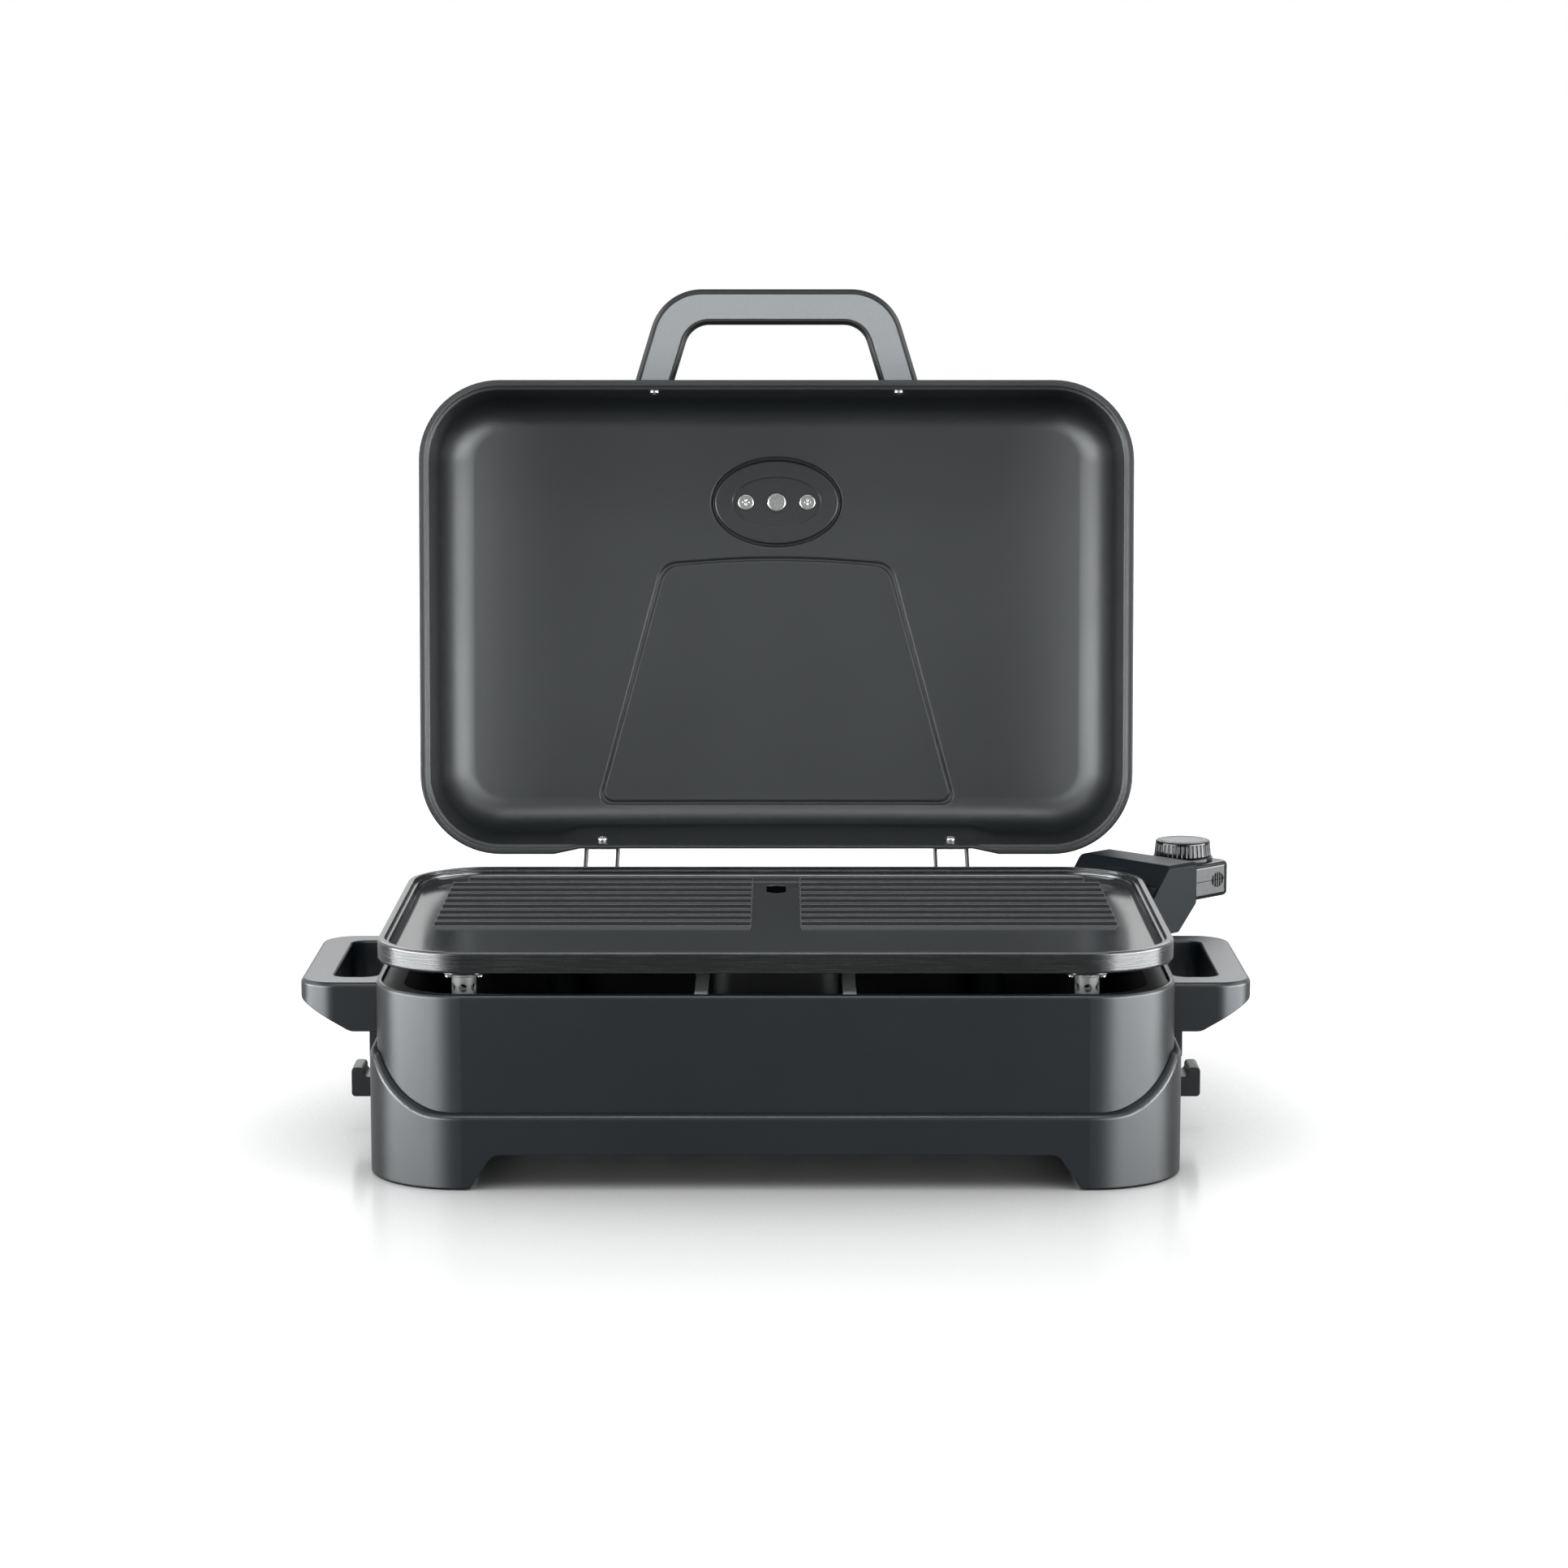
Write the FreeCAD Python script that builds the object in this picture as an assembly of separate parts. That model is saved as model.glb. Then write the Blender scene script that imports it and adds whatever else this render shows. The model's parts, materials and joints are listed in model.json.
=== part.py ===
import FreeCAD, Part
import os
from math import cos, hypot, pi, radians, sin, sqrt, tan

from FreeCAD import Placement, Rotation, Vector

# Electric table grill: a cast cooking plate on a plastic base, a deep hinged lid and a plug-in control unit.
# Millimetres and degrees. X is the width, Y runs from front to back, Z is up from the table.
# Everything is built about the middle of the plate; the lid is built closed and then swung open.

# Cooking plate
PLATE_WIDTH = 484.0
PLATE_DEPTH = 315.0
PLATE_CORNER_R = 54.0
PLATE_UNDERSIDE = 131.0
PLATE_THICKNESS = 6.0
PLATE_RIM_HEIGHT = 7.0
PLATE_RIM_FLAT = 4.4
PLATE_RIM_LEDGE = 2.6
PLATE_RIM_DROP = 2.0
PLATE_POCKET_FILLET = 4.0
PLATE_EDGE_FILLET = 1.6
RIB_COUNT = 9
RIB_PITCH = 20.9
RIB_REAR_INSET = 17.5
RIB_END_INSET = 27.5
RIB_HEIGHT = 2.8
RIB_WIDTH = 5.2
RIB_TOP_WIDTH = 3.0
CENTRE_STRIP = 30.0
DRAIN_WIDTH = 12.8
DRAIN_LENGTH = 31.0
DRAIN_INSET = 49.8

# Heating element, cast into a track under the plate
ELEMENT_R = 3.25
ELEMENT_DROP = 5.5
ELEMENT_BEND_R = 24.0
ELEMENT_INSET_X = 57.0
ELEMENT_INSET_Y = 87.5
ELEMENT_FIT = 0.05
TRACK_WIDTH = 12.0
TRACK_DEPTH = 9.8
TRACK_END_INSET = 3.0
PIN_R = 3.0
PIN_SPACING = 14.0
PIN_REACH = 17.0

# Plate legs and the posts that carry them
LEG_INSET_X = 54.0
REAR_LEG_INSET_X = 102.0
LEG_INSET_Y = 30.5
LEG_R = 7.4
LEG_WALL = 1.2
LEG_BOSS_DEPTH = 5.0
LEG_BOSS_LENGTH = 27.0
LEG_BOSS_WIDTH = 18.0
LEG_EAR_SPAN = 23.5
LEG_EAR_WIDTH = 7.0
LEG_EAR_THICK = 1.5
LEG_EAR_SCREW_OFFSET = 9.6
LEG_HOLE_R = 2.4
LEG_HOLE_COUNT = 6
LEG_HOLE_ROWS = 2
LEG_FLANGE = 1.0
LEG_HOLE_ROW_PITCH = 7.6
LEG_FIRST_ROW = 6.2
POST_TOP = 104.0
POST_TOP_R = 11.0
POST_FOOT_R = 13.0
POST_SPIGOT_HEIGHT = 10.0
POST_SPIGOT_FIT = 0.25

# Housing wall
HOUSING_OVERHANG = 1.0
HOUSING_TOP = 118.3
HOUSING_WALL = 3.2
HOUSING_EDGE_R = 2.4
LINER_SEAT_DROP = 3.7
LINER_LEDGE_WIDTH = 4.2
LINER_LEDGE_THICK = 4.5

# Lower frame with its feet
FRAME_PROUD = 4.5
FRAME_FIT = 0.3
FRAME_FRONT_TOP = 46.4
FRAME_SIDE_TOP = 76.0
SWOOP_INSET = 1.0
SWOOP_ANGLE = 40.5
SWOOP_ROUND = 9.0
LEDGE_ROUND = 3.6
SHELF_TOP = 27.0
SHELF_THICK = 3.0
SHELF_WIDTH = 12.0
ARCH_TOP = 21.6
ARCH_RUN = 14.5
ARCH_ROUND = 8.0
FRONT_ARCH_INSET = 78.0
SIDE_ARCH_INSET = 71.0
FOOT_GAP = 1.2
FOOT_FLOOR = 3.0
PAD_R = 14.0
PAD_SINK = 1.0
PAD_SHIFT_X = 26.0
PAD_SHIFT_Y = 28.0

# Bottom cover
COVER_THICK = 2.0
COVER_EDGE_GAP = 1.0
VENT_COLUMNS = 7
VENT_ROWS = 5
VENT_LENGTH = 34.0
VENT_WIDTH = 4.0
VENT_COLUMN_PITCH = 52.0
VENT_ROW_PITCH = 11.0
COVER_SCREW_INSET = 6.2
COVER_SCREW_X = 150.0

# Carrying handles and cord hooks
HANDLE_TOP = 111.0
HANDLE_BOTTOM = 80.5
HANDLE_REACH = 51.0
HANDLE_SPAN = 164.0
HANDLE_FLAT = 19.0
HANDLE_NOSE = 12.0
HANDLE_NOSE_R = 4.0
HANDLE_UNDER_R = 10.0
HANDLE_CORNER_R = 22.0
HANDLE_BAR = 20.0
HANDLE_ROOT = 4.0
HANDLE_EDGE_R = 3.0
GRIP_HOLE_R = 9.0
TAB_GAP = 4.5
TAB_THICK = 5.0
TAB_WIDTH = 28.0
TAB_BOTTOM = 50.0
TAB_EDGE_R = 1.5
HOOK_BOTTOM = 24.4
HOOK_ARM_TOP = 37.0
HOOK_TIP_TOP = 43.0
HOOK_REACH = 21.3
HOOK_TIP_THICK = 7.8
HOOK_WIDTH = 26.0
HOOK_EDGE_R = 2.5

# Liner pan, support bars and drip tray
LINER_FIT = 0.4
LINER_SHEET = 1.2
LINER_FLANGE = 12.0
LINER_FLOOR = 42.0
LINER_ROUND = 9.0
LINER_POST_GAP = 1.0
BAR_WIDTH = 8.0
BAR_THICK = 2.0
BAR_X = 44.5
BAR_END_GAP = 2.0
TRAY_SHEET = 1.2
TRAY_GAP = 1.5
TRAY_LIP = 6.0
TRAY_DEPTH = 36.0
TRAY_LENGTH = 190.0
TRAY_REAR_INSET = 25.0
TRAY_CORNER_R = 12.0
TRAY_ROUND = 7.0

# Corner connection, along the plate's rear right diagonal
SHROUD_GAP = 10.0
SHROUD_DEPTH = 27.0
SHROUD_SPAN = 78.0
SHROUD_TOP = 150.0
SHROUD_WALL = 3.0
SHROUD_LIP = 13.5
SHROUD_CHEEK_LOW = 122.0
SHROUD_CHEEK_FOOT = 104.5
SHROUD_CHEEK_BACK = 18.0
SHROUD_CHEEK_INNER = -9.0
SHROUD_CHEEK_BEND = 127.0
SHROUD_ROUND = 3.0
SHROUD_FIT = 0.3
SHROUD_LID_GAP = 0.8
BLOCK_GAP = 2.5
BLOCK_DEPTH = 24.0
BLOCK_SPAN = 38.0
BLOCK_HEIGHT = 14.1
BLOCK_EDGE_R = 1.2
BRACKET_THICK = 2.0
BRACKET_SPAN = 44.0
BRACKET_DROP = 10.1
BRACKET_SCREW_INSET = 32.0
BRACKET_SCREW_SPACING = 34.0
BRACKET_BOSS_R = 5.0
BRACKET_END = 3.0
BRACKET_CORNER_R = 6.0

# Control unit
CONTROLLER_GAP = 1.0
CONTROLLER_LENGTH = 64.0
CONTROLLER_WIDTH = 50.0
CONTROLLER_BOTTOM = 119.5
CONTROLLER_TOP = 143.2
CONTROLLER_PARTING = 131.4
CONTROLLER_CORNER_R = 8.0
CONTROLLER_INNER_R = 2.5
CONTROLLER_EDGE_R = 3.0
CONTROLLER_WALL = 2.4
CONTACT_R = 3.4
CONTACT_FIT = 0.06
CONTACT_INSET = 0.3
CONTACT_OVERRUN = 2.0
PROBE_R = 2.5
PROBE_REACH = 54.0
PROBE_TAIL = 9.0
PROBE_GAP = 0.35
PROBE_BORE = 28.0
PROBE_BOSS_END = 4.0
THERMOSTAT_LENGTH = 30.0
THERMOSTAT_WIDTH = 26.0
THERMOSTAT_HEIGHT = 13.0
THERMOSTAT_CHAMFER = 2.0
GRIP_PATCH_LENGTH = 12.0
GRIP_PATCH_HEIGHT = 10.0
GRIP_PATCH_INSET = 15.0
GRIP_PATCH_DEPTH = 0.8
GRIP_PATCH_RIBS = 4
GLAND_R = 8.0
GLAND_NECK_R = 6.0
GLAND_BORE_R = 4.0
GLAND_REACH = 7.0
GLAND_TAIL = 0.6
CONTROLLER_SCREW_INSET = 6.5
CONTROLLER_BOSS_R = 3.0

# Control knob
KNOB_INSET = 22.0
KNOB_R = 19.2
KNOB_TOP_R = 18.2
KNOB_HEIGHT = 10.2
KNOB_RIBS = 36
KNOB_RIB_R = 0.75
KNOB_CAP_R = 15.8
KNOB_CAP_THICK = 1.0
KNOB_EDGE_R = 1.0
KNOB_WEB = 1.4
KNOB_GAP = 0.4
COLLAR_R = 20.2
COLLAR_HEIGHT = 3.0
SHAFT_R = 3.0
SHAFT_FIT = 0.06
SHAFT_DEPTH = 9.0
SHAFT_END_GAP = 0.5
SHAFT_TOP_GAP = 0.1

# Hinges
HINGE_X = 119.7
HINGE_BEHIND = 28.8
HINGE_DROP = 22.4
HINGE_PIN_R = 2.5
HINGE_FIT = 0.05
HINGE_HEAD_R = 4.5
HINGE_HEAD_THICK = 1.6
HINGE_SHEET = 1.5
HINGE_ARM_SPACING = 21.6
HINGE_ARM_GAP = 0.35
HINGE_EYE_R = 7.0
HINGE_STOP_GAP = 0.3
HINGE_HEEL_WIDTH = 9.0
LEAF_LOW = 5.0
LEAF_HIGH = 34.0
LEAF_FLARE = 8.0
LEAF_SCREW_HEIGHT = 20.0
BRACKET_PLATE_WIDTH = 34.0
BRACKET_PLATE_LOW = 90.0
BRACKET_PLATE_HIGH = 116.5
BRACKET_SCREW_LOW = 97.0
BRACKET_SCREW_HIGH = 110.0
BRACKET_CHEEK_RISE = 6.0
LID_OPEN_ANGLE = 94.69

# Lid
LID_OVERHANG = 1.0
LID_RIM_GAP = 0.4
LID_HEIGHT = 94.0
LID_CROWN = 9.0
LID_DRAFT = 6.0
LID_WALL = 2.0
LID_ROUND = 26.0
LID_RIM_FLAT = 4.4
LID_RIM_STEP = 2.0
LID_RIM_LEDGE = 2.2
LID_RIM_DEPTH = 6.0
LID_REAR_REACH = 5.5
LID_RELIEF = 3.8
LID_RELIEF_HALF = 134.0
LID_RELIEF_RAMP = 4.7
LID_RELIEF_ROUND = 12.0
PANEL_FRONT_Y = -36.5
PANEL_REAR_Y = 136.0
PANEL_FRONT_HALF = 80.5
PANEL_REAR_HALF = 126.0
PANEL_ROUND = 14.0
PANEL_BOW = 3.0
PANEL_ARCH_R = 640.0
PANEL_GROOVE = 2.4
PANEL_GROOVE_DEPTH = 1.2

# Lid handle
LID_HANDLE_HEIGHT = 38.0
LID_HANDLE_REACH = 63.0
LID_HANDLE_HALF = 97.0
LID_HANDLE_SPLAY = 17.0
LID_HANDLE_BAND = 24.0
LID_HANDLE_LEG = 26.5
LID_HANDLE_THICK = 16.0
LID_HANDLE_OUTER_R = 36.0
LID_HANDLE_INNER_R = 17.0
LID_HANDLE_EDGE_R = 4.5
LID_HANDLE_BORDER = 3.5
LID_HANDLE_COVER_THICK = 2.4
LID_HANDLE_COVER_FIT = 0.15
LID_HANDLE_COVER_GAP = 0.4
LID_HANDLE_SCREW_X = 84.0

# Thermometer
GAUGE_Y = -76.2
GAUGE_LENGTH = 87.0
GAUGE_WIDTH = 58.5
GAUGE_HEIGHT = 11.0
GAUGE_EDGE_R = 3.0
GAUGE_DIAL_R = 22.0
GAUGE_DIAL_SEAT = 3.0
GAUGE_DIAL_THICK = 0.8
GAUGE_LENS_STEP = 1.6
GAUGE_LENS_THICK = 1.6
GAUGE_LENS_SINK = 0.8
GAUGE_FIT = 0.1
BACK_PLATE_THICK = 3.2
BACK_PLATE_RECESS = 2.0
BACK_PLATE_CHANNEL = 2.2
BACK_PLATE_CHANNEL_DEPTH = 1.0
BACK_PLATE_EDGE_R = 1.2
BACK_PLATE_INNER_LENGTH = 62.0
BACK_PLATE_INNER_WIDTH = 35.0
STEM_R = 3.0
STEM_NUT_R = 6.7
STEM_NUT_HEIGHT = 3.4
SPINDLE_R = 0.9
NEEDLE_HUB_R = 2.8
NEEDLE_LENGTH = 17.0
NEEDLE_TAIL = 6.0
NEEDLE_THICK = 0.8
NEEDLE_TAIL_WIDTH = 3.2
NEEDLE_TIP_WIDTH = 0.6
NEEDLE_LIFT = 1.4
NEEDLE_START = 210.0
GAUGE_SCREW_X = 21.6

# Screws
SCREW_R = 2.0
SCREW_HEAD_R = 3.6
SCREW_HEAD_HEIGHT = 2.2
SCREW_CLEARANCE = 0.05
SCREW_SLOT = 1.0
SMALL_SCREW_R = 1.2
SMALL_SCREW_HEAD_R = 1.9
SMALL_SCREW_HEAD_HEIGHT = 1.4
LEAF_SCREW_LENGTH = 6.0
LID_HANDLE_SCREW_LENGTH = 14.0
HANDLE_SCREW_LENGTH = 12.0
COVER_SCREW_LENGTH = 4.6
BRACKET_SCREW_LENGTH = 8.0
HINGE_BRACKET_SCREW_LENGTH = 8.0
LEG_SCREW_LENGTH = 5.0
GAUGE_SCREW_LENGTH = 5.7
CONTROLLER_SCREW_LENGTH = 16.0

# Levels and widths that follow from the sizes above
PLATE_SURFACE = PLATE_UNDERSIDE + PLATE_THICKNESS
PLATE_TOP = PLATE_SURFACE + PLATE_RIM_HEIGHT
HOUSING_HALF_WIDTH = PLATE_WIDTH / 2 + HOUSING_OVERHANG
HOUSING_HALF_DEPTH = PLATE_DEPTH / 2 + HOUSING_OVERHANG
HOUSING_INNER = HOUSING_OVERHANG - HOUSING_WALL
FRAME_OUTER = HOUSING_OVERHANG + FRAME_PROUD
FRAME_POCKET = HOUSING_OVERHANG + FRAME_FIT
FRAME_HALF_WIDTH = PLATE_WIDTH / 2 + FRAME_OUTER
FRAME_HALF_DEPTH = PLATE_DEPTH / 2 + FRAME_OUTER
SHELF_BOTTOM = SHELF_TOP - SHELF_THICK
COVER_BOTTOM = SHELF_BOTTOM - COVER_THICK
LINER_SEAT = HOUSING_TOP - LINER_SEAT_DROP
LINER_TOP = LINER_SEAT + LINER_SHEET
LINER_OUTER = HOUSING_INNER - LINER_FIT
LINER_WALL = LINER_OUTER - LINER_FLANGE
BAR_TOP = LINER_TOP + BAR_THICK
ELEMENT_Z = PLATE_UNDERSIDE - ELEMENT_DROP
LEG_BOSS_BOTTOM = PLATE_UNDERSIDE - LEG_BOSS_DEPTH
LEG_EAR_BOTTOM = LEG_BOSS_BOTTOM - LEG_EAR_THICK
CORNER_X = PLATE_WIDTH / 2 - PLATE_CORNER_R
CORNER_Y = PLATE_DEPTH / 2 - PLATE_CORNER_R
BRACKET_TOP = PLATE_UNDERSIDE - BRACKET_DROP
BRACKET_BOTTOM = BRACKET_TOP - BRACKET_THICK
BLOCK_START = PLATE_CORNER_R + BLOCK_GAP
BLOCK_END = BLOCK_START + BLOCK_DEPTH
CONTROLLER_START = BLOCK_END + CONTROLLER_GAP
CONTROLLER_END = CONTROLLER_START + CONTROLLER_LENGTH
KNOB_OUT = CONTROLLER_END - KNOB_INSET
COLLAR_TOP = CONTROLLER_TOP + COLLAR_HEIGHT
KNOB_BOTTOM = COLLAR_TOP + KNOB_GAP
KNOB_TOP = KNOB_BOTTOM + KNOB_HEIGHT
LID_RIM = PLATE_TOP + LID_RIM_GAP
LID_HALF_DEPTH = PLATE_DEPTH / 2 + LID_OVERHANG
LID_TOP = LID_RIM + LID_HEIGHT
LID_SLOPE = tan(radians(LID_DRAFT))
HINGE_Y = HOUSING_HALF_DEPTH + HINGE_BEHIND
HINGE_Z = LID_RIM - HINGE_DROP
LID_HANDLE_MID = LID_RIM + LID_HANDLE_HEIGHT
LID_HANDLE_BOTTOM = LID_HANDLE_MID - LID_HANDLE_THICK / 2
LID_HANDLE_UPPER = LID_HANDLE_MID + LID_HANDLE_THICK / 2

UP = Vector(0, 0, 1)
X_AXIS = Vector(1, 0, 0)
Y_AXIS = Vector(0, 1, 0)
CORNER = Placement(Vector(CORNER_X, CORNER_Y, 0), Rotation(UP, 45))
MARGIN = 10.0


def plan(z):
    """Drawing plane seen from above, at height z."""
    return lambda p: Vector(p.x, p.y, z)


def front_view(y):
    """Drawing plane seen from the front, u along X and v up, at depth y."""
    return lambda p: Vector(p.x, y, p.y)


def side_view(x):
    """Drawing plane seen from the side, u along Y and v up, at x."""
    return lambda p: Vector(x, p.x, p.y)


def rounded_corner(before, here, after, radius):
    """Start, middle and end of the arc that rounds the corner between two straight runs."""
    to_before = (before - here).normalize()
    to_after = (after - here).normalize()
    half_angle = to_before.getAngle(to_after) / 2
    bisector = (to_before + to_after).normalize()
    middle = here + bisector * (radius / sin(half_angle) - radius)
    reach = radius / tan(half_angle)
    return here + to_before * reach, middle, here + to_after * reach


def outline(corners, place):
    """Closed wire through (u, v, radius) corners, each rounded by its radius, drawn by place."""
    points = [Vector(u, v, 0) for u, v, radius in corners]
    stops = []
    for index, (u, v, radius) in enumerate(corners):
        here = points[index]
        following = points[(index + 1) % len(points)]
        if radius:
            stops.append(rounded_corner(points[index - 1], here, following, radius))
        else:
            stops.append((here, None, here))
    edges = []
    for index, (start, middle, finish) in enumerate(stops):
        if middle:
            edges.append(Part.Arc(place(start), place(middle), place(finish)).toShape())
        following = stops[(index + 1) % len(stops)][0]
        if (following - finish).Length > 1e-6:
            edges.append(Part.makeLine(place(finish), place(following)))
    return Part.Wire(edges)


def extruded(corners, place, along):
    return Part.Face(outline(corners, place)).extrude(along)


def bent_path(points, radius):
    """Open wire through points, with the same bend radius at each inner point."""
    edges = []
    last = points[0]
    for before, here, after in zip(points, points[1:], points[2:]):
        start, middle, finish = rounded_corner(before, here, after, radius)
        edges.append(Part.makeLine(last, start))
        edges.append(Part.Arc(start, middle, finish).toShape())
        last = finish
    edges.append(Part.makeLine(last, points[-1]))
    return Part.Wire(edges)


def box(x0, x1, y0, y1, z0, z1):
    return Part.makeBox(x1 - x0, y1 - y0, z1 - z0, Vector(x0, y0, z0))


def cylinder(radius, start, finish):
    along = finish - start
    return Part.makeCylinder(radius, along.Length, start, along)


def oval(length, width, x, y, z0, z1):
    """Upright elliptical prism, long side along X."""
    ellipse = Part.Ellipse(Vector(x, y, z0), length / 2, width / 2)
    return Part.Face(Part.Wire(ellipse.toShape())).extrude(UP * (z1 - z0))


def oblong(length, width, x, y, z0, z1):
    """Upright prism with round ends, long side along X."""
    half = length / 2
    side = width / 2
    corners = [(x - half, y - side, side * 0.999), (x + half, y - side, side * 0.999),
               (x + half, y + side, side * 0.999), (x - half, y + side, side * 0.999)]
    return extruded(corners, plan(z0), UP * (z1 - z0))


def plate_outline(offset, z, reach=0):
    """The plate's plan outline grown by offset, and by reach at the rear, as a wire at height z."""
    half_width = PLATE_WIDTH / 2 + offset
    front = -PLATE_DEPTH / 2 - offset
    rear = PLATE_DEPTH / 2 + offset + reach
    radius = PLATE_CORNER_R + offset
    corners = [(-half_width, front, radius), (half_width, front, radius),
               (half_width, rear, radius), (-half_width, rear, radius)]
    return outline(corners, plan(z))


def slab(offset, z0, z1, reach=0):
    return Part.Face(plate_outline(offset, z0, reach)).extrude(UP * (z1 - z0))


def ring(outer, inner, z0, z1, reach=0):
    return slab(outer, z0, z1, reach).cut(slab(inner, z0, z1, reach))


def outline_distance(point, offset):
    """How far a point lies outside the plate's outline grown by offset, in plan."""
    dx = max(abs(point.x) - CORNER_X, 0)
    dy = max(abs(point.y) - CORNER_Y, 0)
    return hypot(dx, dy) - PLATE_CORNER_R - offset


def edges_where(shape, test):
    return [edge for edge in shape.Edges if all(test(point) for point in edge.discretize(5))]


def at_height(z):
    return lambda point: abs(point.z - z) < 0.001


def cut_all(shape, tools):
    return shape.cut(Part.makeCompound(tools)) if tools else shape


def fuse_all(shape, others):
    return shape.fuse(list(others)).removeSplitter()


def in_corner(shape):
    """Moves a piece drawn along X onto the diagonal of the plate's rear right corner."""
    shape.Placement = CORNER.multiply(shape.Placement)
    return shape


def corner_point(out, across, z):
    return CORNER.multVec(Vector(out, across, z))


def mirrored(shape):
    """The same piece on the left-hand side."""
    return shape.mirror(Vector(0, 0, 0), X_AXIS)


def screw(seat, into, length, radius=SCREW_R, head_r=SCREW_HEAD_R, head=SCREW_HEAD_HEIGHT):
    """Round-head screw: seat is the middle of the head's bearing face, into the way it is driven."""
    way = Vector(into).normalize()
    cap = Part.makeCylinder(head_r, head, seat - way * head, way)
    rim = [edge for edge in cap.Edges if edge.Closed and edge.CenterOfMass.isEqual(seat - way * head, 0.01)]
    cap = cap.makeFillet(head * 0.45, rim)
    return cap.fuse(Part.makeCylinder(radius, length, seat, way)).removeSplitter()


def slotted(fastener, seat, into, head_r=SCREW_HEAD_R, head=SCREW_HEAD_HEIGHT):
    """Cuts the cross recess into a screw's head."""
    way = Vector(into).normalize()
    arm = Part.makeBox(head_r * 1.2, SCREW_SLOT, head, Vector(-head_r * 0.6, -SCREW_SLOT / 2, head * 0.4))
    cross = arm.fuse(arm.rotated(Vector(0, 0, 0), UP, 90))
    cross.Placement = Placement(seat, Rotation(UP, way * -1))
    return fastener.cut(cross)


def screw_hole(seat, into, length, radius=SCREW_R):
    way = Vector(into).normalize()
    return Part.makeCylinder(radius + SCREW_CLEARANCE, length, seat, way)


# Places that repeat

def leg_places():
    """Plan positions of the plate's legs, front pair first."""
    front_x = PLATE_WIDTH / 2 - LEG_INSET_X
    rear_x = PLATE_WIDTH / 2 - REAR_LEG_INSET_X
    y = PLATE_DEPTH / 2 - LEG_INSET_Y
    return {"front_left": Vector(-front_x, -y, 0), "front_right": Vector(front_x, -y, 0),
            "rear_left": Vector(-rear_x, y, 0), "rear_right": Vector(rear_x, y, 0)}


def leg_screw_seats():
    """Where the screw heads bear on the legs' ears."""
    seats = []
    for place in leg_places().values():
        for side in (-1, 1):
            seats.append(Vector(place.x + side * LEG_EAR_SCREW_OFFSET, place.y, LEG_EAR_BOTTOM))
    return seats


def cover_screw_seats():
    x_side = PLATE_WIDTH / 2 + FRAME_POCKET - COVER_SCREW_INSET
    y_side = PLATE_DEPTH / 2 + FRAME_POCKET - COVER_SCREW_INSET
    seats = [Vector(sx * COVER_SCREW_X, sy * y_side, COVER_BOTTOM) for sx in (-1, 1) for sy in (-1, 1)]
    return seats + [Vector(side * x_side, 0, COVER_BOTTOM) for side in (-1, 1)]


def pad_places():
    return [Vector(sx * (CORNER_X + PAD_SHIFT_X), sy * (CORNER_Y + PAD_SHIFT_Y), 0)
            for sx in (-1, 1) for sy in (-1, 1)]


def handle_screw_seats(side):
    """Heads inside the housing wall, one for each arm of the handle."""
    y = HANDLE_SPAN / 2 - HANDLE_BAR / 2
    z = (HANDLE_TOP + HANDLE_BOTTOM) / 2
    return [Vector(side * (HOUSING_HALF_WIDTH - HOUSING_WALL), sign * y, z) for sign in (-1, 1)]


def bracket_screw_seats():
    """Heads under the terminal bracket."""
    out = PLATE_CORNER_R - BRACKET_SCREW_INSET
    return [corner_point(out, side * BRACKET_SCREW_SPACING / 2, BRACKET_BOTTOM) for side in (-1, 1)]


def hinge_bracket_screw_seats(side):
    y = HOUSING_HALF_DEPTH + HINGE_SHEET
    return [Vector(side * HINGE_X, y, z) for z in (BRACKET_SCREW_LOW, BRACKET_SCREW_HIGH)]


def hinge_bracket_screw_holes(side):
    forward = Y_AXIS * -1
    seats = hinge_bracket_screw_seats(side)
    return [screw_hole(seat, forward, HINGE_BRACKET_SCREW_LENGTH) for seat in seats]


def front_wall_y(height):
    """The lid's outer front face at a height above the rim."""
    return -LID_HALF_DEPTH + height * LID_SLOPE


def rear_wall_y(height):
    """The lid's outer rear face between the hinges, at a height above the rim."""
    return LID_HALF_DEPTH + LID_REAR_REACH - LID_RELIEF - height * LID_SLOPE


REAR_WALL_OUT = Vector(0, cos(radians(LID_DRAFT)), sin(radians(LID_DRAFT)))
FRONT_WALL_OUT = Vector(0, -cos(radians(LID_DRAFT)), sin(radians(LID_DRAFT)))


def leaf_screw_seat(side):
    y = rear_wall_y(LEAF_SCREW_HEIGHT) - LID_WALL
    return Vector(side * HINGE_X, y, LID_RIM + LEAF_SCREW_HEIGHT)


def lid_handle_screw_seat(side):
    y = front_wall_y(LID_HANDLE_HEIGHT) + LID_WALL
    return Vector(side * LID_HANDLE_SCREW_X, y, LID_HANDLE_MID)


def gauge_screw_seat(side):
    z = LID_TOP - LID_WALL - BACK_PLATE_THICK + BACK_PLATE_RECESS
    return Vector(side * GAUGE_SCREW_X, GAUGE_Y, z)


# Base

def arch(half_top, place, along):
    """Opening between two feet, widening down to the table."""
    rise = ARCH_TOP + MARGIN
    run = ARCH_RUN * rise / ARCH_TOP
    corners = [(-half_top - run, -MARGIN, 0), (half_top + run, -MARGIN, 0),
               (half_top, ARCH_TOP, ARCH_ROUND), (-half_top, ARCH_TOP, ARCH_ROUND)]
    return extruded(corners, place, along)


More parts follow.
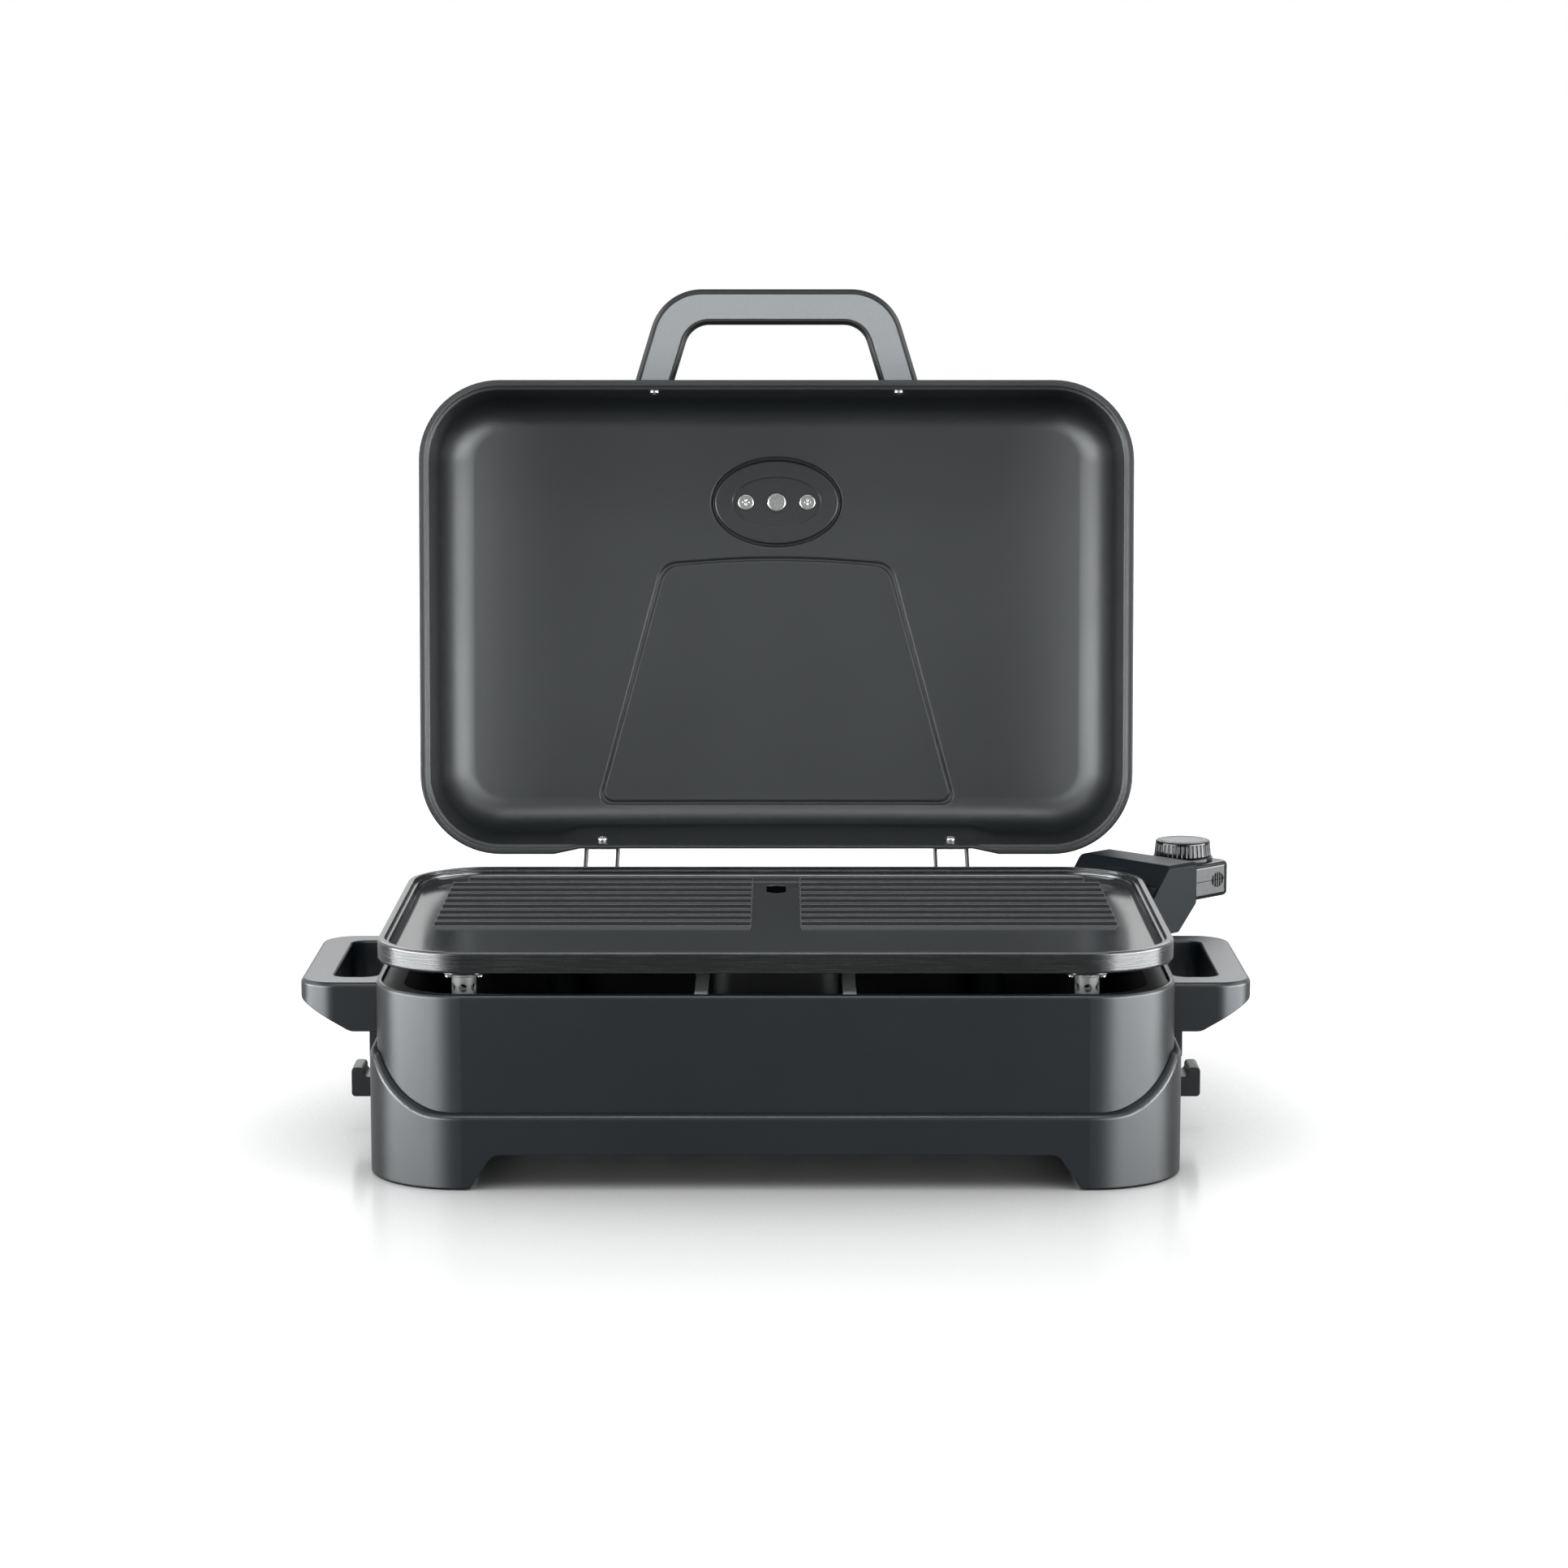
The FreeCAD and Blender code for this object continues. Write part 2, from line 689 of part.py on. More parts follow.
def lower_frame():
    wall = ring(FRAME_OUTER, FRAME_POCKET, FOOT_GAP, FRAME_SIDE_TOP + MARGIN)
    low_y = HOUSING_HALF_DEPTH - SWOOP_INSET
    high_y = low_y - (FRAME_SIDE_TOP - FRAME_FRONT_TOP) / tan(radians(SWOOP_ANGLE))
    far_y = FRAME_HALF_DEPTH + MARGIN
    sky = FRAME_SIDE_TOP + 2 * MARGIN
    above = [(-far_y, FRAME_FRONT_TOP, 0), (-low_y, FRAME_FRONT_TOP, SWOOP_ROUND),
             (-high_y, FRAME_SIDE_TOP, SWOOP_ROUND), (high_y, FRAME_SIDE_TOP, SWOOP_ROUND),
             (low_y, FRAME_FRONT_TOP, SWOOP_ROUND), (far_y, FRAME_FRONT_TOP, 0),
             (far_y, sky, 0), (-far_y, sky, 0)]
    far_x = FRAME_HALF_WIDTH + MARGIN
    wall = wall.cut(extruded(above, side_view(-far_x), X_AXIS * 2 * far_x))
    ledge = edges_where(wall, lambda p: abs(outline_distance(p, FRAME_OUTER)) < 0.01 and p.z > SHELF_TOP)
    wall = wall.makeFillet(LEDGE_ROUND, ledge)
    shelf = ring(FRAME_POCKET, FRAME_POCKET - SHELF_WIDTH, SHELF_BOTTOM, SHELF_TOP)
    floor = slab(FRAME_POCKET, FOOT_GAP, FOOT_GAP + FOOT_FLOOR)
    front_arch = arch(FRAME_HALF_WIDTH - FRONT_ARCH_INSET, front_view(-far_y), Y_AXIS * 2 * far_y)
    side_arch = arch(FRAME_HALF_DEPTH - SIDE_ARCH_INSET, side_view(-far_x), X_AXIS * 2 * far_x)
    recesses = []
    for place in pad_places():
        recesses.append(Part.makeCylinder(PAD_R + FRAME_FIT, PAD_SINK, place + UP * FOOT_GAP))
    holes = [screw_hole(seat, UP, COVER_SCREW_LENGTH) for seat in cover_screw_seats()]
    return cut_all(fuse_all(wall, [shelf, floor]), [front_arch, side_arch] + recesses + holes)


def foot_pads():
    height = FOOT_GAP + PAD_SINK
    return Part.makeCompound([Part.makeCylinder(PAD_R, height, place) for place in pad_places()])


def vent_slots():
    slots = []
    for column in range(VENT_COLUMNS):
        x = (column - (VENT_COLUMNS - 1) / 2) * VENT_COLUMN_PITCH
        for row in range(VENT_ROWS):
            y = (row - (VENT_ROWS - 1) / 2) * VENT_ROW_PITCH
            slots.append(oblong(VENT_LENGTH, VENT_WIDTH, x, y, COVER_BOTTOM - 1, SHELF_BOTTOM + 1))
    return slots


def bottom_cover():
    cover = slab(FRAME_POCKET - COVER_EDGE_GAP, COVER_BOTTOM, SHELF_BOTTOM)
    holes = [screw_hole(seat, UP, COVER_SCREW_LENGTH) for seat in cover_screw_seats()]
    return cut_all(cover, vent_slots() + holes)


def housing_shell():
    wall = ring(HOUSING_OVERHANG, HOUSING_INNER, SHELF_TOP, HOUSING_TOP)
    top = edges_where(wall, at_height(HOUSING_TOP))
    top = [edge for edge in top if outline_distance(edge.Vertexes[0].Point, HOUSING_OVERHANG) > -0.01]
    wall = wall.makeFillet(HOUSING_EDGE_R, top)
    ledge = ring(HOUSING_INNER, HOUSING_INNER - LINER_LEDGE_WIDTH, LINER_SEAT - LINER_LEDGE_THICK, LINER_SEAT)
    holes = []
    for side in (-1, 1):
        for seat in handle_screw_seats(side):
            holes.append(screw_hole(seat, X_AXIS * side, HANDLE_SCREW_LENGTH))
        holes += hinge_bracket_screw_holes(side)
    return cut_all(fuse_all(wall, [ledge]), holes)


def handle_right():
    root_x = HOUSING_HALF_WIDTH
    tip_x = root_x + HANDLE_REACH
    half = HANDLE_SPAN / 2
    nose = HANDLE_TOP - HANDLE_NOSE
    profile = [(root_x, HANDLE_BOTTOM, 0), (root_x + HANDLE_FLAT, HANDLE_BOTTOM, HANDLE_UNDER_R),
               (tip_x, nose, HANDLE_NOSE_R), (tip_x, HANDLE_TOP, 0), (root_x, HANDLE_TOP, 0)]
    body = extruded(profile, front_view(-half), Y_AXIS * HANDLE_SPAN)
    top_shape = [(root_x, -half, 0), (tip_x, -half, HANDLE_CORNER_R), (tip_x, half, HANDLE_CORNER_R),
                 (root_x, half, 0)]
    height = HANDLE_TOP - HANDLE_BOTTOM
    body = body.common(extruded(top_shape, plan(HANDLE_BOTTOM - 1), UP * (height + 2)))
    upper = [edge for edge in edges_where(body, at_height(HANDLE_TOP)) if edge.CenterOfMass.x > root_x + 0.01]
    body = body.makeFillet(HANDLE_EDGE_R, upper)
    grip_y = half - HANDLE_BAR
    grip_shape = [(root_x + HANDLE_ROOT, -grip_y, GRIP_HOLE_R), (tip_x - HANDLE_BAR, -grip_y, GRIP_HOLE_R),
                  (tip_x - HANDLE_BAR, grip_y, GRIP_HOLE_R), (root_x + HANDLE_ROOT, grip_y, GRIP_HOLE_R)]
    body = body.cut(extruded(grip_shape, plan(HANDLE_BOTTOM - 1), UP * (height + 2)))
    rim = edges_where(body, lambda p: at_height(HANDLE_TOP)(p) and abs(p.y) < grip_y + 0.01
                      and root_x + HANDLE_ROOT - 0.01 < p.x < tip_x - HANDLE_BAR + 0.01)
    body = body.makeFillet(HANDLE_EDGE_R * 0.6, rim)
    holes = [screw_hole(seat, X_AXIS, HANDLE_SCREW_LENGTH) for seat in handle_screw_seats(1)]
    return cut_all(fuse_all(body, [cord_tab()]), holes)


def cord_tab():
    """Tab that hangs from the handle's root, outside the frame, to wind the lead round."""
    root_x = HOUSING_HALF_WIDTH
    inner_x = FRAME_HALF_WIDTH + TAB_GAP
    outer_x = inner_x + TAB_THICK
    shape = [(root_x, HANDLE_BOTTOM + TAB_THICK, 0), (root_x, HANDLE_BOTTOM, 0), (inner_x, HANDLE_BOTTOM, 0),
             (inner_x, TAB_BOTTOM, TAB_EDGE_R), (outer_x, TAB_BOTTOM, TAB_EDGE_R),
             (outer_x, HANDLE_BOTTOM + TAB_THICK, TAB_EDGE_R)]
    return extruded(shape, front_view(-TAB_WIDTH / 2), Y_AXIS * TAB_WIDTH)


def cord_hook_right():
    root_x = FRAME_HALF_WIDTH
    tip_x = root_x + HOOK_REACH
    throat_x = tip_x - HOOK_TIP_THICK
    shape = [(root_x, HOOK_BOTTOM, 0), (tip_x, HOOK_BOTTOM, HOOK_EDGE_R), (tip_x, HOOK_TIP_TOP, HOOK_EDGE_R),
             (throat_x, HOOK_TIP_TOP, HOOK_EDGE_R), (throat_x, HOOK_ARM_TOP, HOOK_EDGE_R),
             (root_x, HOOK_ARM_TOP, 0)]
    return extruded(shape, front_view(-HOOK_WIDTH / 2), Y_AXIS * HOOK_WIDTH)


def liner_pan():
    flange = slab(LINER_OUTER, LINER_SEAT, LINER_TOP)
    outer = slab(LINER_WALL, LINER_FLOOR, LINER_TOP)
    outer = outer.makeFillet(LINER_ROUND, edges_where(outer, at_height(LINER_FLOOR)))
    floor_top = LINER_FLOOR + LINER_SHEET
    inner = slab(LINER_WALL - LINER_SHEET, floor_top, LINER_TOP + 1)
    inner = inner.makeFillet(LINER_ROUND - LINER_SHEET, edges_where(inner, at_height(floor_top)))
    tools = [inner]
    for place in leg_places().values():
        foot = place + UP * (LINER_FLOOR - 1)
        tools.append(Part.makeCylinder(POST_FOOT_R + LINER_POST_GAP, LINER_ROUND + MARGIN, foot))
    return cut_all(fuse_all(flange, [outer]), tools)


def support_bar(side):
    half = PLATE_DEPTH / 2 + LINER_OUTER - BAR_END_GAP
    x = side * BAR_X
    return box(x - BAR_WIDTH / 2, x + BAR_WIDTH / 2, -half, half, LINER_TOP, BAR_TOP)


def drip_tray():
    half = BAR_X - BAR_WIDTH / 2 - TRAY_GAP
    rear = PLATE_DEPTH / 2 - TRAY_REAR_INSET
    front = rear - TRAY_LENGTH

    def block(grow, radius, z0, z1):
        corners = [(-half - grow, front - grow, radius), (half + grow, front - grow, radius),
                   (half + grow, rear + grow, radius), (-half - grow, rear + grow, radius)]
        return extruded(corners, plan(z0), UP * (z1 - z0))

    lip = block(TRAY_LIP, TRAY_CORNER_R + TRAY_LIP, BAR_TOP, BAR_TOP + TRAY_SHEET)
    low = BAR_TOP - TRAY_DEPTH
    outer = block(0, TRAY_CORNER_R, low, BAR_TOP + TRAY_SHEET)
    outer = outer.makeFillet(TRAY_ROUND, edges_where(outer, at_height(low)))
    inner = block(-TRAY_SHEET, TRAY_CORNER_R - TRAY_SHEET, low + TRAY_SHEET, BAR_TOP + MARGIN)
    inner = inner.makeFillet(TRAY_ROUND - TRAY_SHEET, edges_where(inner, at_height(low + TRAY_SHEET)))
    return fuse_all(lip, [outer]).cut(inner)


def leg_posts():
    posts = []
    for place in leg_places().values():
        post = Part.makeCone(POST_FOOT_R, POST_TOP_R, POST_TOP - SHELF_BOTTOM, place + UP * SHELF_BOTTOM)
        spigot_r = LEG_R - LEG_WALL - POST_SPIGOT_FIT
        spigot = Part.makeCylinder(spigot_r, POST_SPIGOT_HEIGHT, place + UP * POST_TOP)
        posts.append(post.fuse(spigot).removeSplitter())
    return Part.makeCompound(posts)


# Cooking plate

def element_path():
    """Centre line of the element: out of the corner, once round under the plate and back to the corner."""
    run_x = PLATE_WIDTH / 2 - ELEMENT_INSET_X
    run_y = PLATE_DEPTH / 2 - ELEMENT_INSET_Y
    spread = PIN_SPACING / 2
    end = BLOCK_START + BLOCK_DEPTH / 2
    rear_turn = corner_point((run_y - CORNER_Y) * sqrt(2) - spread, spread, ELEMENT_Z)
    side_turn = corner_point((run_x - CORNER_X) * sqrt(2) - spread, -spread, ELEMENT_Z)
    points = [corner_point(end, spread, ELEMENT_Z), rear_turn, Vector(-run_x, run_y, ELEMENT_Z),
              Vector(-run_x, -run_y, ELEMENT_Z), Vector(run_x, -run_y, ELEMENT_Z), side_turn,
              corner_point(end, -spread, ELEMENT_Z)]
    return bent_path(points, ELEMENT_BEND_R)


def element_tube(radius):
    path = element_path()
    start = path.OrderedVertexes[0].Point
    section = Part.Wire(Part.Circle(start, path.OrderedEdges[0].tangentAt(0), radius).toShape())
    return path.makePipeShell([section], True, False)


def element_track():
    """Raised channel that the element is cast into, and the boss that the probe enters."""
    path = element_path()
    start = path.OrderedVertexes[0].Point
    along = path.OrderedEdges[0].tangentAt(0)
    across = Vector(-along.y, along.x, 0) * (TRACK_WIDTH / 2)
    top = UP * (PLATE_UNDERSIDE + 1 - ELEMENT_Z)
    bottom = UP * (PLATE_UNDERSIDE - TRACK_DEPTH - ELEMENT_Z)
    corners = [start - across + bottom, start + across + bottom, start + across + top, start - across + top]
    section = Part.makePolygon(corners + corners[:1])
    track = path.makePipeShell([section], True, False)
    low = PLATE_UNDERSIDE - TRACK_DEPTH
    half = PIN_SPACING / 2
    boss_start = PLATE_CORNER_R - PROBE_BORE - PROBE_BOSS_END
    probe_boss = box(boss_start, PLATE_CORNER_R, -half, half, low, PLATE_UNDERSIDE + 1)
    inside = slab(-TRACK_END_INSET, low - 1, PLATE_SURFACE)
    return [track.common(inside), in_corner(probe_boss).common(inside)]


def rib_end(y):
    """How far out a rib runs, clear of the pocket's rounded corner."""
    clear_r = PLATE_CORNER_R - PLATE_RIM_FLAT - PLATE_RIM_LEDGE - PLATE_POCKET_FILLET - RIB_WIDTH / 2
    beyond = max(abs(y) - CORNER_Y, 0)
    return min(PLATE_WIDTH / 2 - RIB_END_INSET, CORNER_X + sqrt(clear_r ** 2 - beyond ** 2))


def ribs():
    inner = CENTRE_STRIP / 2
    draft = (RIB_WIDTH - RIB_TOP_WIDTH) / 2
    solids = []
    for index in range(RIB_COUNT):
        y = PLATE_DEPTH / 2 - RIB_REAR_INSET - index * RIB_PITCH
        for side in (-1, 1):
            rectangles = []
            for inset, z in ((0, PLATE_SURFACE - 0.5), (draft, PLATE_SURFACE + RIB_HEIGHT)):
                half = RIB_WIDTH / 2 - inset
                x0 = side * (inner + inset)
                x1 = side * (rib_end(y) - inset)
                corners = [Vector(x0, y - half, z), Vector(x1, y - half, z),
                           Vector(x1, y + half, z), Vector(x0, y + half, z)]
                rectangles.append(Part.makePolygon(corners + corners[:1]))
            solids.append(Part.makeLoft(rectangles, True, True))
    return solids


def grill_plate():
    plate = slab(0, PLATE_UNDERSIDE, PLATE_TOP)
    rims = edges_where(plate, lambda p: at_height(PLATE_UNDERSIDE)(p) or at_height(PLATE_TOP)(p))
    plate = plate.makeFillet(PLATE_EDGE_FILLET, rims)
    ledge = slab(-PLATE_RIM_FLAT, PLATE_TOP - PLATE_RIM_DROP, PLATE_TOP + 1)
    pocket = slab(-PLATE_RIM_FLAT - PLATE_RIM_LEDGE, PLATE_SURFACE, PLATE_TOP)
    pocket = pocket.makeFillet(PLATE_POCKET_FILLET, edges_where(pocket, at_height(PLATE_SURFACE)))
    plate = cut_all(plate, [ledge, pocket])
    bosses = []
    boss_top = PLATE_UNDERSIDE + 1
    for place in leg_places().values():
        bosses.append(oblong(LEG_BOSS_LENGTH, LEG_BOSS_WIDTH, place.x, place.y, LEG_BOSS_BOTTOM, boss_top))
    for seat in bracket_screw_seats():
        foot = Vector(seat.x, seat.y, BRACKET_TOP)
        bosses.append(Part.makeCylinder(BRACKET_BOSS_R, BRACKET_DROP + 1, foot))
    plate = fuse_all(plate, ribs() + bosses + element_track())
    drain_y = PLATE_DEPTH / 2 - DRAIN_INSET
    drain = oblong(DRAIN_LENGTH, DRAIN_WIDTH, 0, 0, PLATE_UNDERSIDE - MARGIN, PLATE_TOP)
    drain = drain.rotated(Vector(0, 0, 0), UP, 90).translated(Vector(0, drain_y, 0))
    probe_end = corner_point(PLATE_CORNER_R - PROBE_BORE, 0, ELEMENT_Z)
    probe_bore = cylinder(PROBE_R + PROBE_GAP, probe_end, corner_point(PLATE_CORNER_R, 0, ELEMENT_Z))
    holes = [screw_hole(seat, UP, LEG_SCREW_LENGTH, SMALL_SCREW_R) for seat in leg_screw_seats()]
    holes += [screw_hole(seat, UP, BRACKET_SCREW_LENGTH) for seat in bracket_screw_seats()]
    return cut_all(plate, [drain, probe_bore, element_tube(ELEMENT_R + ELEMENT_FIT)] + holes)


def plate_leg(place):
    """Perforated sleeve with an eared flange that screws to the plate."""
    low = place + UP * POST_TOP
    height = LEG_EAR_BOTTOM - POST_TOP
    sleeve = Part.makeCylinder(LEG_R, height, low)
    flange = Part.makeCylinder(LEG_R + LEG_FLANGE, LEG_EAR_THICK, place + UP * LEG_EAR_BOTTOM)
    ears = oblong(LEG_EAR_SPAN, LEG_EAR_WIDTH, place.x, place.y, LEG_EAR_BOTTOM, LEG_BOSS_BOTTOM)
    bore = Part.makeCylinder(LEG_R - LEG_WALL, height + MARGIN, low)
    holes = []
    for row in range(LEG_HOLE_ROWS):
        z = POST_TOP + LEG_FIRST_ROW + row * LEG_HOLE_ROW_PITCH
        for index in range(LEG_HOLE_COUNT // 2):
            angle = 2 * pi * index / LEG_HOLE_COUNT - pi / 2
            across = Vector(cos(angle), sin(angle), 0) * (LEG_R + 1)
            middle = place + UP * z
            holes.append(cylinder(LEG_HOLE_R, middle - across, middle + across))
    for side in (-1, 1):
        seat = place + Vector(side * LEG_EAR_SCREW_OFFSET, 0, LEG_EAR_BOTTOM)
        holes.append(screw_hole(seat, UP, LEG_SCREW_LENGTH, SMALL_SCREW_R))
    return cut_all(fuse_all(sleeve, [flange, ears]), [bore] + holes)


# Corner connection

def terminal_pins():
    start = BLOCK_START + BLOCK_DEPTH / 2
    finish = BLOCK_END + PIN_REACH
    pins = []
    for side in (-1, 1):
        y = side * PIN_SPACING / 2
        pin = cylinder(PIN_R, Vector(start, y, ELEMENT_Z), Vector(finish, y, ELEMENT_Z))
        tip = edges_where(pin, lambda p: abs(p.x - finish) < 0.01)
        pins.append(pin.makeChamfer(PIN_R * 0.4, tip))
    return in_corner(Part.makeCompound(pins))


def terminal_block():
    half = BLOCK_SPAN / 2
    block = box(BLOCK_START, BLOCK_END, -half, half, BRACKET_TOP, BRACKET_TOP + BLOCK_HEIGHT)
    upper = edges_where(block, at_height(BRACKET_TOP + BLOCK_HEIGHT))
    block = block.makeFillet(BLOCK_EDGE_R, upper)
    start = Vector(BLOCK_START - 1, 0, ELEMENT_Z)
    middle = Vector(BLOCK_START + BLOCK_DEPTH / 2, 0, ELEMENT_Z)
    finish = Vector(BLOCK_END + 1, 0, ELEMENT_Z)
    tools = [cylinder(PROBE_R + PROBE_GAP, start, finish)]
    for side in (-1, 1):
        across = Y_AXIS * side * PIN_SPACING / 2
        tools.append(cylinder(ELEMENT_R + ELEMENT_FIT, start + across, middle + across))
        tools.append(cylinder(PIN_R + ELEMENT_FIT, middle + across, finish + across))
    return in_corner(cut_all(block, tools))


def terminal_bracket():
    start = PLATE_CORNER_R - BRACKET_SCREW_INSET - BRACKET_BOSS_R - BRACKET_END
    half = BRACKET_SPAN / 2
    corners = [(start, -half, BRACKET_CORNER_R), (BLOCK_END, -half, 0), (BLOCK_END, half, 0),
               (start, half, BRACKET_CORNER_R)]
    plate = in_corner(extruded(corners, plan(BRACKET_BOTTOM), UP * BRACKET_THICK))
    return cut_all(plate, [screw_hole(seat, UP, BRACKET_SCREW_LENGTH) for seat in bracket_screw_seats()])


def connector_shroud():
    """Hood across the plate's corner: roof, front lip, two slanting cheeks and the web under the bracket."""
    inner = PLATE_CORNER_R + SHROUD_GAP
    outer = inner + SHROUD_DEPTH
    half = SHROUD_SPAN / 2
    toe = PLATE_CORNER_R + SHROUD_CHEEK_INNER
    cheek = [(inner, SHROUD_TOP, SHROUD_ROUND), (outer, SHROUD_TOP, SHROUD_ROUND / 2),
             (outer, SHROUD_CHEEK_LOW, SHROUD_ROUND),
             (outer - SHROUD_CHEEK_BACK, SHROUD_CHEEK_FOOT, SHROUD_ROUND),
             (toe, SHROUD_CHEEK_FOOT, SHROUD_ROUND), (toe, SHROUD_CHEEK_BEND, SHROUD_ROUND)]
    body = extruded(cheek, front_view(-half), Y_AXIS * SHROUD_SPAN)
    low = SHROUD_CHEEK_FOOT - 1
    section = [(-half, low, 0), (half, low, 0), (half, SHROUD_TOP, SHROUD_ROUND),
               (-half, SHROUD_TOP, SHROUD_ROUND)]
    body = body.common(extruded(section, side_view(toe - 1), X_AXIS * (outer - toe + 2)))
    ceiling = SHROUD_TOP - SHROUD_WALL
    lip_low = SHROUD_TOP - SHROUD_LIP
    hollow = [(inner + SHROUD_WALL, ceiling, 0), (outer + 1, ceiling, 0), (outer + 1, low, 0),
              (toe - 1, low, 0), (toe - 1, lip_low, 0), (inner + SHROUD_WALL, lip_low, 0)]
    room = half - SHROUD_WALL
    body = body.cut(extruded(hollow, front_view(-room), Y_AXIS * 2 * room))
    web = box(BLOCK_START + SHROUD_WALL, BLOCK_END, -half, half, BRACKET_BOTTOM - SHROUD_WALL, BRACKET_BOTTOM)
    body = in_corner(fuse_all(body, [web]))
    lid_room = slab(LID_OVERHANG + SHROUD_LID_GAP, LID_RIM - SHROUD_LID_GAP, SHROUD_TOP + 1, LID_REAR_REACH)
    return cut_all(body, [slab(SHROUD_FIT, PLATE_UNDERSIDE, PLATE_TOP), lid_room])


# Control unit

def controller_block(inset, z0, z1):
    half = CONTROLLER_WIDTH / 2 - inset
    x0 = CONTROLLER_START + inset
    x1 = CONTROLLER_END - inset
    radius = CONTROLLER_CORNER_R - inset
    corners = [(x0, -half, CONTROLLER_INNER_R), (x1, -half, radius), (x1, half, radius),
               (x0, half, CONTROLLER_INNER_R)]
    return extruded(corners, plan(z0), UP * (z1 - z0))


def grip_patches():
    """Oval recesses near the outer end of both sides, and the upright ribs that stand in them."""
    x = CONTROLLER_END - GRIP_PATCH_INSET
    z = (CONTROLLER_TOP + CONTROLLER_BOTTOM) / 2
    recesses = []
    bars = []
    for side in (-1, 1):
        face_y = side * CONTROLLER_WIDTH / 2
        inner_y = face_y - side * GRIP_PATCH_DEPTH
        ellipse = Part.Ellipse(Vector(0, 0, 0), GRIP_PATCH_LENGTH / 2, GRIP_PATCH_HEIGHT / 2)
        disc = Part.Face(Part.Wire(ellipse.toShape())).rotated(Vector(0, 0, 0), X_AXIS, 90)
        recess = disc.translated(Vector(x, inner_y, z)).extrude(Y_AXIS * side * 2 * GRIP_PATCH_DEPTH)
        recesses.append(recess)
        pitch = GRIP_PATCH_LENGTH / (GRIP_PATCH_RIBS + 1)
        for index in range(GRIP_PATCH_RIBS):
            bar_x = x + (index - (GRIP_PATCH_RIBS - 1) / 2) * pitch
            low_y, high_y = sorted((inner_y - side, face_y))
            low_z = z - GRIP_PATCH_HEIGHT
            bar = box(bar_x - pitch / 4, bar_x + pitch / 4, low_y, high_y, low_z, z + GRIP_PATCH_HEIGHT)
            bars.append(bar.common(recess))
    return recesses, bars


def controller_casing():
    """Closed casing of the control unit, before it is parted into its two shells."""
    casing = controller_block(0, CONTROLLER_BOTTOM, CONTROLLER_TOP)
    rims = edges_where(casing, lambda p: at_height(CONTROLLER_TOP)(p) or at_height(CONTROLLER_BOTTOM)(p))
    casing = casing.makeFillet(CONTROLLER_EDGE_R, rims)
    recesses, bars = grip_patches()
    casing = cut_all(casing, recesses).fuse(bars).removeSplitter()
    floor = CONTROLLER_BOTTOM + CONTROLLER_WALL
    cavity = controller_block(CONTROLLER_WALL, floor, CONTROLLER_TOP - CONTROLLER_WALL)
    front = Vector(CONTROLLER_START - 1, 0, ELEMENT_Z)
    inside = Vector(CONTROLLER_START + CONTROLLER_WALL + 1, 0, ELEMENT_Z)
    tools = [cavity, cylinder(PROBE_R + ELEMENT_FIT, front, inside)]
    for side in (-1, 1):
        across = Y_AXIS * side * PIN_SPACING / 2
        tools.append(cylinder(CONTACT_R + ELEMENT_FIT, front + across, inside + across))
    gland_in = Vector(CONTROLLER_END - CONTROLLER_WALL - 1, 0, CONTROLLER_PARTING)
    gland_out = Vector(CONTROLLER_END + 1, 0, CONTROLLER_PARTING)
    tools.append(cylinder(GLAND_NECK_R + ELEMENT_FIT, gland_in, gland_out))
    shaft_foot = Vector(KNOB_OUT, 0, CONTROLLER_TOP - 2 * CONTROLLER_WALL)
    tools.append(cylinder(SHAFT_R + SHAFT_FIT, shaft_foot, Vector(KNOB_OUT, 0, CONTROLLER_TOP + 1)))
    casing = cut_all(casing, tools)
    ceiling = CONTROLLER_TOP - CONTROLLER_WALL / 2
    bosses = []
    tools = []
    for seat in controller_screw_seats():
        foot = Vector(seat.x, seat.y, floor - CONTROLLER_WALL / 2)
        bosses.append(Part.makeCylinder(CONTROLLER_BOSS_R, ceiling - foot.z, foot))
        tools.append(screw_hole(seat, UP, CONTROLLER_SCREW_LENGTH, SMALL_SCREW_R))
        tools.append(Part.makeCylinder(SMALL_SCREW_HEAD_R + ELEMENT_FIT, 2 * CONTROLLER_WALL, seat, UP * -1))
    return cut_all(fuse_all(casing, bosses), tools)


def controller_screw_seats():
    """Heads sunk in the underside, so that they end flush with it."""
    xs = (CONTROLLER_START + CONTROLLER_SCREW_INSET, CONTROLLER_END - CONTROLLER_SCREW_INSET)
    y = CONTROLLER_WIDTH / 2 - CONTROLLER_SCREW_INSET
    z = CONTROLLER_BOTTOM + SMALL_SCREW_HEAD_HEIGHT
    return [Vector(x, side * y, z) for x in xs for side in (-1, 1)]


def controller_half(z0, z1):
    reach = CONTROLLER_LENGTH + 4 * MARGIN
    keep = box(CONTROLLER_START - MARGIN, CONTROLLER_START + reach, -reach, reach, z0, z1)
    return controller_casing().common(keep)


def controller_top_shell():
    return in_corner(controller_half(CONTROLLER_PARTING, CONTROLLER_TOP + 1))


def controller_bottom_shell():
    return in_corner(controller_half(CONTROLLER_BOTTOM - 1, CONTROLLER_PARTING))


def controller_contacts():
    """Spring sleeves that grip the terminal pins."""
    start = CONTROLLER_START + CONTACT_INSET
    finish = BLOCK_END + PIN_REACH + CONTACT_OVERRUN
    sleeves = []
    for side in (-1, 1):
        y = side * PIN_SPACING / 2
        a = Vector(start, y, ELEMENT_Z)
        b = Vector(finish, y, ELEMENT_Z)
        sleeves.append(cylinder(CONTACT_R, a, b).cut(cylinder(PIN_R + CONTACT_FIT, a, b)))
    return in_corner(Part.makeCompound(sleeves))


